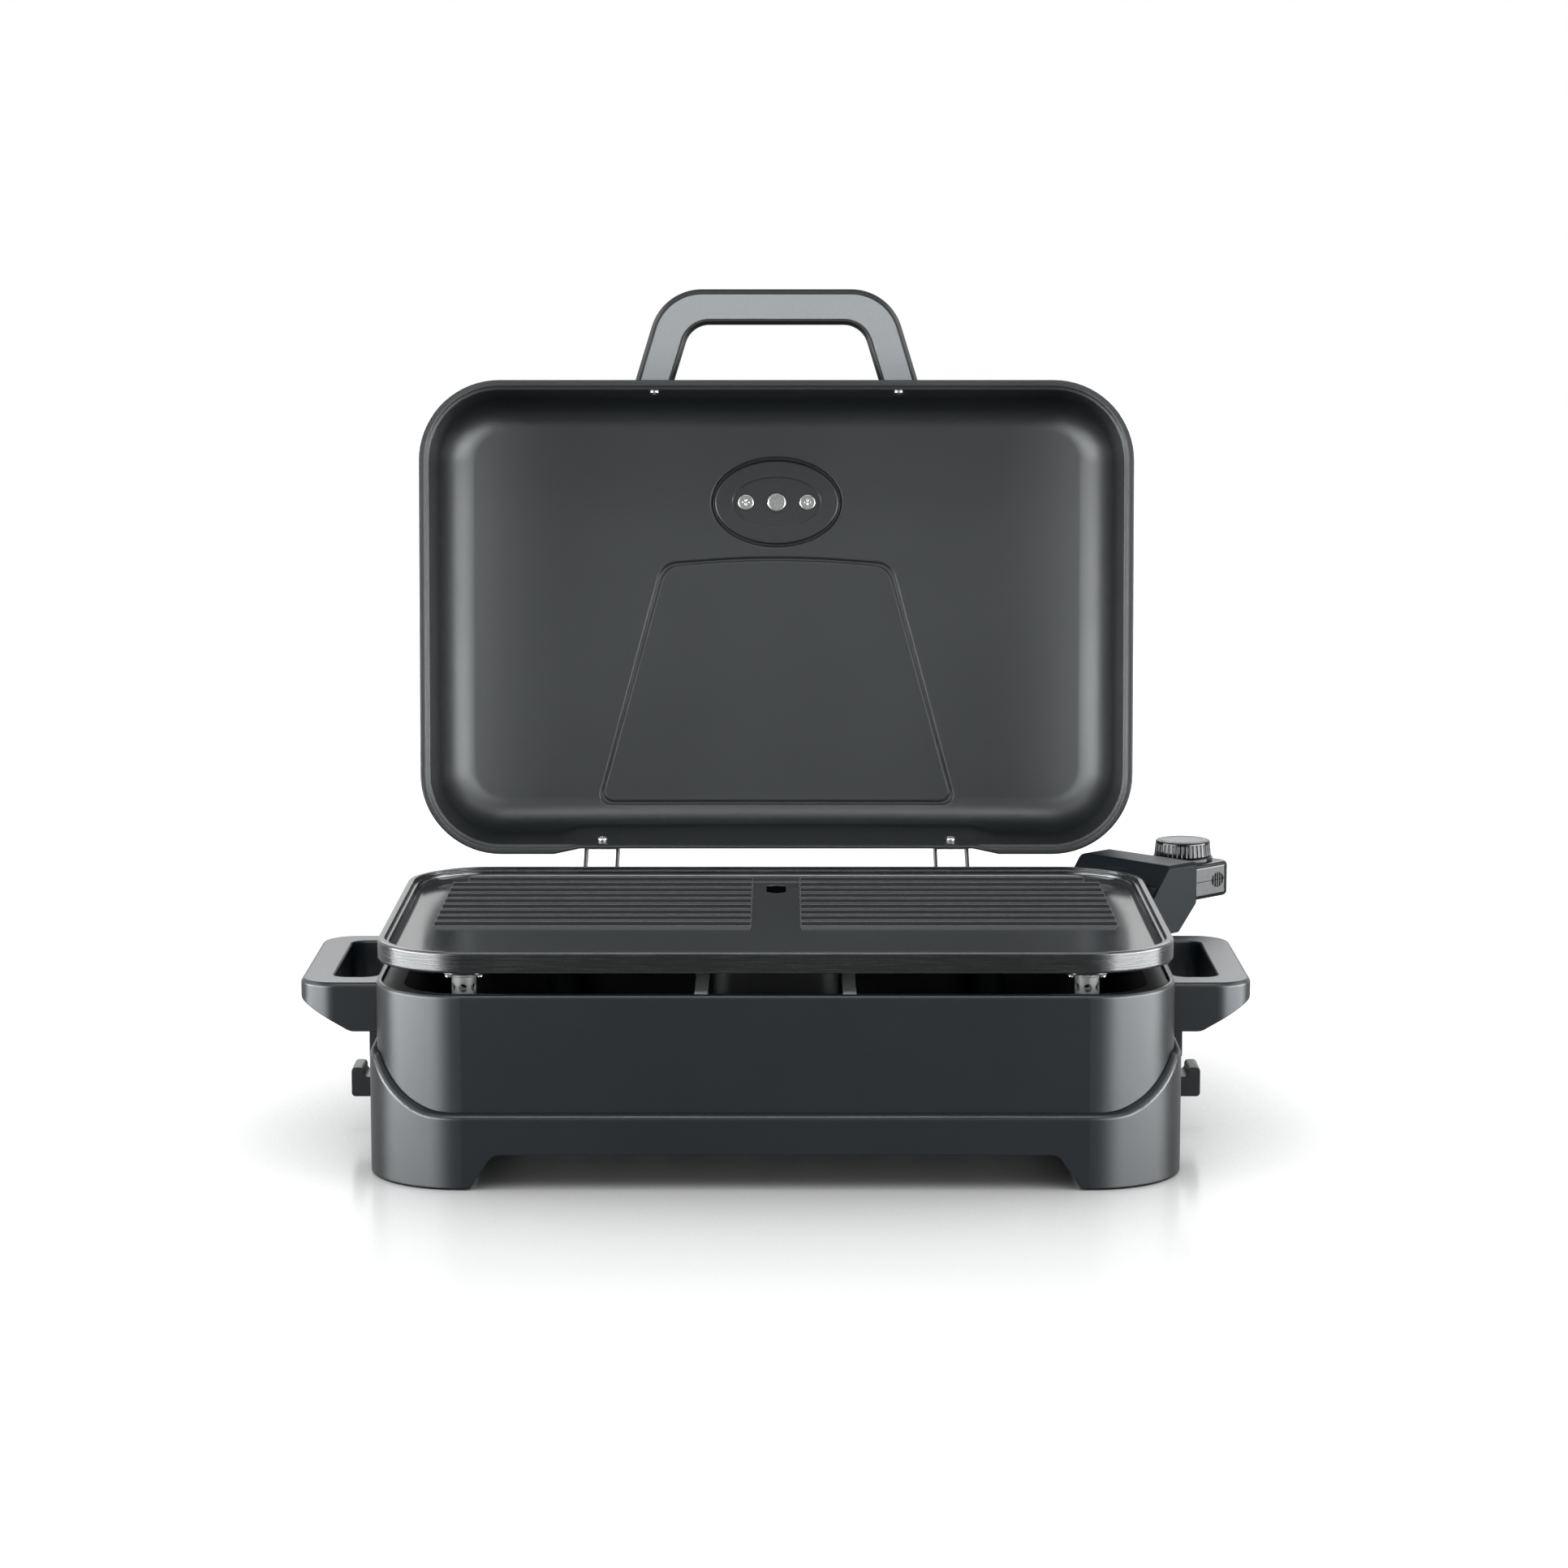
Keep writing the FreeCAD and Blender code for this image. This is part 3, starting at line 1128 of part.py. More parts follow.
def sensor_probe():
    tip = CONTROLLER_START - PROBE_REACH
    rod = cylinder(PROBE_R, Vector(tip, 0, ELEMENT_Z), Vector(CONTROLLER_START + PROBE_TAIL, 0, ELEMENT_Z))
    end = edges_where(rod, lambda p: abs(p.x - tip) < 0.01)
    return in_corner(rod.makeFillet(PROBE_R * 0.8, end))


def thermostat_body():
    floor = CONTROLLER_BOTTOM + CONTROLLER_WALL
    half_l = THERMOSTAT_LENGTH / 2
    half_w = THERMOSTAT_WIDTH / 2
    body = box(KNOB_OUT - half_l, KNOB_OUT + half_l, -half_w, half_w, floor, floor + THERMOSTAT_HEIGHT)
    body = body.makeChamfer(THERMOSTAT_CHAMFER, edges_where(body, at_height(floor + THERMOSTAT_HEIGHT)))
    top = Vector(KNOB_OUT, 0, floor + THERMOSTAT_HEIGHT)
    socket = cylinder(SHAFT_R + SHAFT_FIT, top - UP * SHAFT_DEPTH, top + UP)
    return in_corner(body.cut(socket))


def cord_gland():
    face = Vector(CONTROLLER_END, 0, CONTROLLER_PARTING)
    start = face - X_AXIS * (CONTROLLER_WALL + GLAND_TAIL)
    neck = cylinder(GLAND_NECK_R, start, face)
    collar = Part.makeCone(GLAND_R, GLAND_NECK_R, GLAND_REACH, face, X_AXIS)
    bore = cylinder(GLAND_BORE_R, start - X_AXIS, face + X_AXIS * (GLAND_REACH + 1))
    return in_corner(neck.fuse(collar).removeSplitter().cut(bore))


def knob_collar():
    base = Vector(KNOB_OUT, 0, CONTROLLER_TOP)
    disc = Part.makeCylinder(COLLAR_R, COLLAR_HEIGHT, base)
    disc = disc.makeFillet(COLLAR_HEIGHT * 0.4, edges_where(disc, at_height(COLLAR_TOP)))
    return in_corner(disc.cut(Part.makeCylinder(SHAFT_R + SHAFT_FIT, COLLAR_HEIGHT, base)))


def knob_shaft():
    floor = CONTROLLER_BOTTOM + CONTROLLER_WALL + THERMOSTAT_HEIGHT
    foot = Vector(KNOB_OUT, 0, floor - SHAFT_DEPTH + SHAFT_END_GAP)
    head = Vector(KNOB_OUT, 0, KNOB_TOP - KNOB_CAP_THICK - KNOB_WEB - SHAFT_TOP_GAP)
    return in_corner(cylinder(SHAFT_R, foot, head))


def control_knob():
    base = Vector(KNOB_OUT, 0, KNOB_BOTTOM)
    body = Part.makeCone(KNOB_R, KNOB_TOP_R, KNOB_HEIGHT, base)
    body = body.makeFillet(KNOB_EDGE_R, edges_where(body, at_height(KNOB_TOP)))
    tools = []
    for index in range(KNOB_RIBS):
        angle = 2 * pi * index / KNOB_RIBS
        out = Vector(cos(angle), sin(angle), 0)
        foot = base + out * (KNOB_R + KNOB_RIB_R * 0.35) - UP
        head = base + out * (KNOB_TOP_R + KNOB_RIB_R * 0.35) + UP * (KNOB_HEIGHT - 2 * KNOB_EDGE_R)
        tools.append(cylinder(KNOB_RIB_R, foot, head))
    cap_seat = base + UP * (KNOB_HEIGHT - KNOB_CAP_THICK)
    tools.append(Part.makeCylinder(KNOB_CAP_R + ELEMENT_FIT, KNOB_CAP_THICK + 1, cap_seat))
    tools.append(cylinder(SHAFT_R + ELEMENT_FIT, base, cap_seat - UP * KNOB_WEB))
    return in_corner(cut_all(body, tools))


def knob_cap():
    seat = Vector(KNOB_OUT, 0, KNOB_TOP - KNOB_CAP_THICK)
    return in_corner(Part.makeCylinder(KNOB_CAP_R, KNOB_CAP_THICK, seat))


# Hinges

def hinge_axis(x):
    return Vector(x, HINGE_Y, HINGE_Z)


def hinge_bracket(side):
    """Sheet bracket on the housing's rear wall with two cheeks that hold the pin."""
    x = side * HINGE_X
    wall_y = HOUSING_HALF_DEPTH
    half = BRACKET_PLATE_WIDTH / 2
    plate = box(x - half, x + half, wall_y, wall_y + HINGE_SHEET, BRACKET_PLATE_LOW, BRACKET_PLATE_HIGH)
    outer = HINGE_ARM_SPACING / 2 - HINGE_SHEET / 2 - HINGE_ARM_GAP
    eye = HINGE_EYE_R
    shape = [(wall_y, BRACKET_PLATE_LOW + BRACKET_CHEEK_RISE, 0), (HINGE_Y, HINGE_Z - eye, 0),
             (HINGE_Y, HINGE_Z + eye, 0), (wall_y + HINGE_SHEET, BRACKET_PLATE_HIGH, 0),
             (wall_y, BRACKET_PLATE_HIGH, 0)]
    pieces = []
    holes = hinge_bracket_screw_holes(side)
    for start in (x - outer, x + outer - HINGE_SHEET):
        pieces.append(extruded(shape, side_view(start), X_AXIS * HINGE_SHEET))
        pieces.append(Part.makeCylinder(eye, HINGE_SHEET, hinge_axis(start), X_AXIS))
    span = X_AXIS * HINGE_ARM_SPACING
    holes.append(cylinder(HINGE_PIN_R + HINGE_FIT, hinge_axis(x) - span, hinge_axis(x) + span))
    return cut_all(fuse_all(plate, pieces), holes)


def hinge_pin(side):
    x = side * HINGE_X
    half = HINGE_ARM_SPACING / 2 + HINGE_SHEET / 2 + HINGE_ARM_GAP
    pin = cylinder(HINGE_PIN_R, hinge_axis(x - half), hinge_axis(x + half))
    heads = []
    for sign in (-1, 1):
        near = hinge_axis(x + sign * half)
        head = Part.makeCylinder(HINGE_HEAD_R, HINGE_HEAD_THICK, near, X_AXIS * sign)
        far_x = near.x + sign * HINGE_HEAD_THICK
        rim = edges_where(head, lambda p: abs(p.x - far_x) < 0.01)
        heads.append(head.makeFillet(HINGE_HEAD_THICK * 0.5, rim))
    return fuse_all(pin, heads)


def hinge_leaf(side):
    """Sheet leaf on the lid's rear wall: web, two arms to the pin and the heel that stops the open lid."""
    x = side * HINGE_X
    outer = HINGE_ARM_SPACING / 2 + HINGE_SHEET / 2
    foot = Vector(0, rear_wall_y(LEAF_LOW), LID_RIM + LEAF_LOW)
    head = Vector(0, rear_wall_y(LEAF_HIGH), LID_RIM + LEAF_HIGH)
    web_foot = foot + REAR_WALL_OUT * HINGE_SHEET
    web_head = head + REAR_WALL_OUT * HINGE_SHEET
    flare = head + REAR_WALL_OUT * LEAF_FLARE
    axis = hinge_axis(0)
    reach = ((foot + head) * 0.5 - axis).normalize()
    across = Vector(0, -reach.z, reach.y) * HINGE_EYE_R
    heel_way = Rotation(X_AXIS, LID_OPEN_ANGLE).multVec(Vector(0, -1, 0))
    heel_across = Vector(0, -heel_way.z, heel_way.y) * (HINGE_HEEL_WIDTH / 2)
    heel_end = axis + heel_way * (HINGE_BEHIND - HINGE_SHEET - HINGE_STOP_GAP)

    def flat(points, radius=0.0):
        return [(p.y, p.z, radius) for p in points]

    web = extruded(flat([foot, web_foot, web_head, head]), side_view(x - outer), X_AXIS * 2 * outer)
    arm = flat([foot, axis + across, axis - across, flare, head])
    heel = flat([axis + heel_across, heel_end + heel_across, heel_end - heel_across, axis - heel_across])
    pieces = []
    for start in (x - outer, x + outer - HINGE_SHEET):
        pieces.append(extruded(arm, side_view(start), X_AXIS * HINGE_SHEET))
        pieces.append(extruded(heel, side_view(start), X_AXIS * HINGE_SHEET))
        pieces.append(Part.makeCylinder(HINGE_EYE_R, HINGE_SHEET, hinge_axis(start), X_AXIS))
    span = X_AXIS * HINGE_ARM_SPACING
    holes = [cylinder(HINGE_PIN_R + HINGE_FIT, hinge_axis(x) - span, hinge_axis(x) + span)]
    holes.append(screw_hole(leaf_screw_seat(side), REAR_WALL_OUT, LEAF_SCREW_LENGTH + 1))
    return cut_all(fuse_all(web, pieces), holes)


# Lid, built closed

def lid_form(inset, top, fillet):
    """Drafted and crowned body of the lid, drawn in from its outside by inset."""
    base = LID_OVERHANG - inset
    high = top + MARGIN
    lower = plate_outline(base, LID_RIM, LID_REAR_REACH)
    upper = plate_outline(base - (high - LID_RIM) * LID_SLOPE, high, LID_REAR_REACH)
    body = Part.makeLoft([lower, upper], True, True)
    half = PLATE_WIDTH / 2
    crown_r = half * half / (2 * LID_CROWN)
    length = PLATE_DEPTH + 4 * MARGIN
    crown = Part.makeCylinder(crown_r, length, Vector(0, -length / 2, top - crown_r), Y_AXIS)
    body = body.common(crown)
    shoulder = LID_RIM + LID_HEIGHT / 2
    edges = edges_where(body, lambda p: p.z > shoulder)
    return body.makeFillet(fillet, edges).cut(hinge_relief(inset))


def lid_outer():
    return lid_form(0, LID_TOP, LID_ROUND)


def lid_inner():
    return lid_form(LID_WALL, LID_TOP - LID_WALL, LID_ROUND - LID_WALL)


def panel_shape(inset):
    """Trapezium on the lid's inside with an arched front edge, wide towards the hinges, drawn in by inset."""
    front = PANEL_FRONT_Y + inset
    rear = PANEL_REAR_Y - inset
    front_x = PANEL_FRONT_HALF - inset
    rear_x = PANEL_REAR_HALF - inset
    corners = [(-rear_x, rear, PANEL_ROUND / 2), (-front_x, front + PANEL_BOW, PANEL_ROUND),
               (0, front - PANEL_BOW, PANEL_ARCH_R), (front_x, front + PANEL_BOW, PANEL_ROUND),
               (rear_x, rear, PANEL_ROUND / 2)]
    return extruded(corners, plan(LID_RIM + LID_HEIGHT / 2), UP * LID_HEIGHT)


def gauge_channel():
    """Sunk line in the lid's roof round the thermometer's back plate."""
    low = LID_TOP - LID_HEIGHT / 2
    high = LID_TOP - LID_WALL + BACK_PLATE_CHANNEL_DEPTH
    length = GAUGE_LENGTH + 2 * BACK_PLATE_CHANNEL
    width = GAUGE_WIDTH + 2 * BACK_PLATE_CHANNEL
    plate = oval(GAUGE_LENGTH, GAUGE_WIDTH, 0, GAUGE_Y, low, high)
    return oval(length, width, 0, GAUGE_Y, low, high).cut(plate)


def hinge_relief(inset):
    """What is taken off the lid's rear wall, so that it stands back between and around the hinges."""
    wires = []
    for z in (LID_RIM - MARGIN, LID_TOP + MARGIN):
        face = rear_wall_y(z - LID_RIM) - inset
        half = LID_RELIEF_HALF + inset
        run = half + LID_RELIEF_RAMP * (LID_RELIEF + inset + MARGIN)
        out = face + LID_RELIEF + inset + MARGIN
        corners = [(half, face, LID_RELIEF_ROUND), (run, out, 0), (-run, out, 0),
                   (-half, face, LID_RELIEF_ROUND)]
        wires.append(outline(corners, plan(z)))
    return Part.makeLoft(wires, True, True)


def lid_shell():
    outer = lid_outer()
    inner = lid_inner()
    shell = outer.cut(inner)
    middle = LID_OVERHANG - LID_WALL / 2
    inside = LID_OVERHANG - LID_RIM_FLAT
    step = LID_RIM + LID_RIM_STEP
    flat_ring = ring(middle, inside, LID_RIM, step, LID_REAR_REACH)
    ledge = inside - LID_RIM_LEDGE
    step_ring = ring(middle, ledge, step, LID_RIM + LID_RIM_DEPTH, LID_REAR_REACH)
    shell = fuse_all(shell, [flat_ring, step_ring])
    groove = panel_shape(0).cut(panel_shape(PANEL_GROOVE)).common(inner.translated(UP * PANEL_GROOVE_DEPTH))
    tools = [groove, gauge_channel(), hinge_relief(0)]
    for side in (-1, 1):
        tools.append(screw_hole(leaf_screw_seat(side), REAR_WALL_OUT, LEAF_SCREW_LENGTH))
        tools.append(screw_hole(lid_handle_screw_seat(side), FRONT_WALL_OUT, LID_HANDLE_SCREW_LENGTH))
        tools.append(screw_hole(gauge_screw_seat(side), UP, GAUGE_SCREW_LENGTH))
    gauge = Vector(0, GAUGE_Y, LID_TOP - 2 * LID_WALL)
    tools.append(Part.makeCylinder(STEM_R + GAUGE_FIT, 4 * LID_WALL, gauge))
    return cut_all(shell, tools)


def handle_arch(inset, z0, z1):
    """Arched band of the lid handle in plan, drawn in from its edges by inset."""
    edge_y = -LID_HALF_DEPTH
    root_y = edge_y + LID_ROUND
    lean = tan(radians(LID_HANDLE_SPLAY))
    slant = inset / cos(radians(LID_HANDLE_SPLAY))

    def band(front_y, half_at_edge, radius):
        def half(y):
            return half_at_edge + (y - edge_y) * lean
        corners = [(-half(root_y), root_y, 0), (-half(front_y), front_y, radius),
                   (half(front_y), front_y, radius), (half(root_y), root_y, 0)]
        return extruded(corners, plan(z0), UP * (z1 - z0))

    front_y = edge_y - LID_HANDLE_REACH
    outer = band(front_y + inset, LID_HANDLE_HALF - slant, LID_HANDLE_OUTER_R - inset)
    inner_half = LID_HANDLE_HALF - LID_HANDLE_LEG + slant
    inner = band(front_y + LID_HANDLE_BAND - inset, inner_half, LID_HANDLE_INNER_R + inset)
    return outer.cut(inner)


def lid_handle_shell():
    arch_body = handle_arch(0, LID_HANDLE_BOTTOM, LID_HANDLE_UPPER)
    root_y = -LID_HALF_DEPTH + LID_ROUND
    upper = edges_where(arch_body, lambda p: at_height(LID_HANDLE_UPPER)(p) and p.y < root_y + 0.01)
    upper = [edge for edge in upper if edge.CenterOfMass.y < root_y - 0.01]
    arch_body = arch_body.makeFillet(LID_HANDLE_EDGE_R, upper)
    lower = edges_where(arch_body, lambda p: at_height(LID_HANDLE_BOTTOM)(p) and p.y < root_y + 0.01)
    lower = [edge for edge in lower if edge.CenterOfMass.y < root_y - 0.01]
    arch_body = arch_body.makeChamfer(LID_HANDLE_BORDER * 0.6, lower)
    recess = handle_arch(LID_HANDLE_BORDER, LID_HANDLE_BOTTOM - 1, LID_HANDLE_BOTTOM + LID_HANDLE_COVER_THICK)
    tools = [lid_outer(), recess]
    for side in (-1, 1):
        tools.append(screw_hole(lid_handle_screw_seat(side), FRONT_WALL_OUT, LID_HANDLE_SCREW_LENGTH))
    return cut_all(arch_body, tools)


def lid_handle_cover():
    inset = LID_HANDLE_BORDER + LID_HANDLE_COVER_FIT
    cover = handle_arch(inset, LID_HANDLE_BOTTOM, LID_HANDLE_BOTTOM + LID_HANDLE_COVER_THICK)
    return cover.cut(lid_outer().translated(Y_AXIS * -LID_HANDLE_COVER_GAP))


# Thermometer in the lid's roof

def thermometer_back_plate():
    roof = LID_TOP - LID_WALL
    low = roof - BACK_PLATE_THICK
    plate = oval(GAUGE_LENGTH, GAUGE_WIDTH, 0, GAUGE_Y, low, roof + LID_WALL / 2)
    plate = plate.makeFillet(BACK_PLATE_EDGE_R, edges_where(plate, at_height(low)))
    deep = low + BACK_PLATE_RECESS
    recess = oval(BACK_PLATE_INNER_LENGTH, BACK_PLATE_INNER_WIDTH, 0, GAUGE_Y, low - 1, deep)
    holes = [screw_hole(gauge_screw_seat(side), UP, GAUGE_SCREW_LENGTH) for side in (-1, 1)]
    holes.append(Part.makeCylinder(STEM_R + GAUGE_FIT, 2 * BACK_PLATE_THICK, Vector(0, GAUGE_Y, low)))
    return cut_all(plate, [lid_outer().cut(lid_inner()), recess] + holes)


def thermometer_housing():
    top = LID_TOP + GAUGE_HEIGHT
    body = oval(GAUGE_LENGTH, GAUGE_WIDTH, 0, GAUGE_Y, LID_TOP - LID_WALL / 2, top)
    body = body.makeFillet(GAUGE_EDGE_R, edges_where(body, at_height(top)))
    seat = Vector(0, GAUGE_Y, LID_TOP + GAUGE_DIAL_SEAT)
    lens_seat = Vector(0, GAUGE_Y, top - GAUGE_LENS_SINK - GAUGE_LENS_THICK)
    tools = [Part.makeCylinder(GAUGE_DIAL_R, GAUGE_HEIGHT, seat),
             Part.makeCylinder(GAUGE_DIAL_R + GAUGE_LENS_STEP, GAUGE_HEIGHT, lens_seat),
             Part.makeCylinder(STEM_R + GAUGE_FIT, GAUGE_HEIGHT, Vector(0, GAUGE_Y, LID_TOP - LID_WALL))]
    tools += [screw_hole(gauge_screw_seat(side), UP, GAUGE_SCREW_LENGTH) for side in (-1, 1)]
    return cut_all(body, [lid_outer()] + tools)


def thermometer_dial():
    seat = Vector(0, GAUGE_Y, LID_TOP + GAUGE_DIAL_SEAT)
    disc = Part.makeCylinder(GAUGE_DIAL_R - GAUGE_FIT, GAUGE_DIAL_THICK, seat)
    return disc.cut(Part.makeCylinder(SPINDLE_R + GAUGE_FIT, GAUGE_DIAL_THICK, seat))


def thermometer_lens():
    seat = Vector(0, GAUGE_Y, LID_TOP + GAUGE_HEIGHT - GAUGE_LENS_SINK - GAUGE_LENS_THICK)
    return Part.makeCylinder(GAUGE_DIAL_R + GAUGE_LENS_STEP - GAUGE_FIT, GAUGE_LENS_THICK, seat)


def needle_level():
    return LID_TOP + GAUGE_DIAL_SEAT + GAUGE_DIAL_THICK + NEEDLE_LIFT


def thermometer_stem():
    """Sensing stem: nut inside the lid, rod through the roof and the spindle that carries the needle."""
    nut_top = LID_TOP - LID_WALL - BACK_PLATE_THICK + BACK_PLATE_RECESS
    nut = Part.makeCylinder(STEM_NUT_R, STEM_NUT_HEIGHT, Vector(0, GAUGE_Y, nut_top - STEM_NUT_HEIGHT))
    nut = nut.makeFillet(STEM_NUT_HEIGHT * 0.35, edges_where(nut, at_height(nut_top - STEM_NUT_HEIGHT)))
    rod = cylinder(STEM_R, Vector(0, GAUGE_Y, nut_top), Vector(0, GAUGE_Y, LID_TOP + GAUGE_DIAL_SEAT))
    spindle_top = needle_level() + 2 * NEEDLE_THICK
    spindle = cylinder(SPINDLE_R, Vector(0, GAUGE_Y, LID_TOP), Vector(0, GAUGE_Y, spindle_top))
    return fuse_all(nut, [rod, spindle])


def thermometer_needle():
    z = needle_level()
    tail = NEEDLE_TAIL_WIDTH / 2
    tip = NEEDLE_TIP_WIDTH / 2
    shape = [(-NEEDLE_TAIL, GAUGE_Y - tail, 0), (-NEEDLE_TAIL, GAUGE_Y + tail, 0),
             (NEEDLE_LENGTH, GAUGE_Y + tip, 0), (NEEDLE_LENGTH, GAUGE_Y - tip, 0)]
    blade = extruded(shape, plan(z), UP * NEEDLE_THICK)
    hub = Part.makeCylinder(NEEDLE_HUB_R, NEEDLE_THICK * 1.6, Vector(0, GAUGE_Y, z - NEEDLE_THICK * 0.4))
    bore = Part.makeCylinder(SPINDLE_R + HINGE_FIT, NEEDLE_THICK * 4, Vector(0, GAUGE_Y, z - NEEDLE_THICK))
    needle = fuse_all(blade, [hub]).cut(bore)
    return needle.rotated(Vector(0, GAUGE_Y, 0), UP, NEEDLE_START)


# Screws, grouped by what they hold

def bottom_cover_screws():
    return Part.makeCompound([screw(seat, UP, COVER_SCREW_LENGTH) for seat in cover_screw_seats()])


def handle_screws():
    solids = []
    for side in (-1, 1):
        solids += [screw(seat, X_AXIS * side, HANDLE_SCREW_LENGTH) for seat in handle_screw_seats(side)]
    return Part.makeCompound(solids)


def leg_screws():
    size = {"radius": SMALL_SCREW_R, "head_r": SMALL_SCREW_HEAD_R, "head": SMALL_SCREW_HEAD_HEIGHT}
    return Part.makeCompound([screw(seat, UP, LEG_SCREW_LENGTH, **size) for seat in leg_screw_seats()])


def controller_screws():
    size = {"radius": SMALL_SCREW_R, "head_r": SMALL_SCREW_HEAD_R, "head": SMALL_SCREW_HEAD_HEIGHT}
    seats = controller_screw_seats()
    return in_corner(Part.makeCompound([screw(seat, UP, CONTROLLER_SCREW_LENGTH, **size) for seat in seats]))


def terminal_bracket_screws():
    seats = bracket_screw_seats()
    return Part.makeCompound([screw(seat, UP, BRACKET_SCREW_LENGTH) for seat in seats])


def hinge_bracket_screws():
    solids = []
    for side in (-1, 1):
        for seat in hinge_bracket_screw_seats(side):
            solids.append(screw(seat, Y_AXIS * -1, HINGE_BRACKET_SCREW_LENGTH))
    return Part.makeCompound(solids)


def hinge_leaf_screws():
    solids = []
    for side in (-1, 1):
        seat = leaf_screw_seat(side)
        solids.append(slotted(screw(seat, REAR_WALL_OUT, LEAF_SCREW_LENGTH), seat, REAR_WALL_OUT))
    return Part.makeCompound(solids)


def lid_handle_screws():
    solids = []
    for side in (-1, 1):
        seat = lid_handle_screw_seat(side)
        solids.append(slotted(screw(seat, FRONT_WALL_OUT, LID_HANDLE_SCREW_LENGTH), seat, FRONT_WALL_OUT))
    return Part.makeCompound(solids)


def thermometer_screws():
    solids = []
    for side in (-1, 1):
        seat = gauge_screw_seat(side)
        fastener = screw(seat, UP, GAUGE_SCREW_LENGTH, head_r=STEM_NUT_R - 1)
        solids.append(slotted(fastener, seat, UP))
    return Part.makeCompound(solids)


def base_pieces():
    pieces = {"lower_frame": lower_frame(), "foot_pads": foot_pads(), "bottom_cover": bottom_cover(),
              "bottom_cover_screws": bottom_cover_screws(), "housing_shell": housing_shell(),
              "handle_right": handle_right(), "handle_left": mirrored(handle_right()),
              "handle_screws": handle_screws(), "cord_hook_right": cord_hook_right(),
              "cord_hook_left": mirrored(cord_hook_right()), "liner_pan": liner_pan(),
              "support_bar_left": support_bar(-1), "support_bar_right": support_bar(1),
              "drip_tray": drip_tray(), "leg_posts": leg_posts(), "leg_screws": leg_screws(),
              "grill_plate": grill_plate(), "heating_element": element_tube(ELEMENT_R),
              "terminal_pins": terminal_pins(), "terminal_block": terminal_block(),
              "terminal_bracket": terminal_bracket(), "terminal_bracket_screws": terminal_bracket_screws(),
              "connector_shroud": connector_shroud(), "hinge_bracket_screws": hinge_bracket_screws()}
    for name, place in leg_places().items():
        pieces["plate_leg_" + name] = plate_leg(place)
    for name, side in (("left", -1), ("right", 1)):
        pieces["hinge_bracket_" + name] = hinge_bracket(side)
        pieces["hinge_pin_" + name] = hinge_pin(side)
    return pieces


def control_pieces():
    return {"controller_top_shell": controller_top_shell(),
            "controller_bottom_shell": controller_bottom_shell(), "controller_screws": controller_screws(),
            "controller_contacts": controller_contacts(), "sensor_probe": sensor_probe(),
            "thermostat_body": thermostat_body(), "cord_gland": cord_gland(), "knob_collar": knob_collar(),
            "knob_shaft": knob_shaft(), "control_knob": control_knob(), "knob_cap": knob_cap()}


def lid_pieces():
    """The lid's pieces, swung open about the hinge pins."""
    pieces = {"lid_shell": lid_shell(), "lid_handle_shell": lid_handle_shell(),
              "lid_handle_cover": lid_handle_cover(), "lid_handle_screws": lid_handle_screws(),
              "hinge_leaf_left": hinge_leaf(-1), "hinge_leaf_right": hinge_leaf(1),
              "hinge_leaf_screws": hinge_leaf_screws(), "thermometer_back_plate": thermometer_back_plate(),
              "thermometer_housing": thermometer_housing(), "thermometer_dial": thermometer_dial(),
              "thermometer_lens": thermometer_lens(),
              "thermometer_stem": thermometer_stem(), "thermometer_needle": thermometer_needle(),
              "thermometer_screws": thermometer_screws()}
    return {name: shape.rotated(hinge_axis(0), X_AXIS, -LID_OPEN_ANGLE) for name, shape in pieces.items()}


def main():
    pieces = {**base_pieces(), **control_pieces(), **lid_pieces()}
    boxes = [shape.optimalBoundingBox(False, False) for shape in pieces.values()]
    middle_x = (min(b.XMin for b in boxes) + max(b.XMax for b in boxes)) / 2
    middle_y = (min(b.YMin for b in boxes) + max(b.YMax for b in boxes)) / 2
    shift = Vector(-middle_x, -middle_y, 0)
    os.makedirs("parts", exist_ok=True)
    for name, shape in pieces.items():
        shape.translated(shift).exportStep("parts/" + name + ".step")
    open_way = Rotation(X_AXIS, -LID_OPEN_ANGLE)
    gauge = hinge_axis(0) + open_way.multVec(Vector(0, GAUGE_Y, needle_level()) - hinge_axis(0))
    print("origin shift", shift)
    print("lid hinge at", hinge_axis(0) + shift)
    print("needle axis through", gauge + shift, "along", open_way.multVec(UP))
    print("knob axis through", corner_point(KNOB_OUT, 0, KNOB_BOTTOM) + shift)


if __name__ == "__main__":
    main()
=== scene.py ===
import json
from math import cos, pi, radians, sin

import bmesh
import bpy
from mathutils import Matrix, Vector


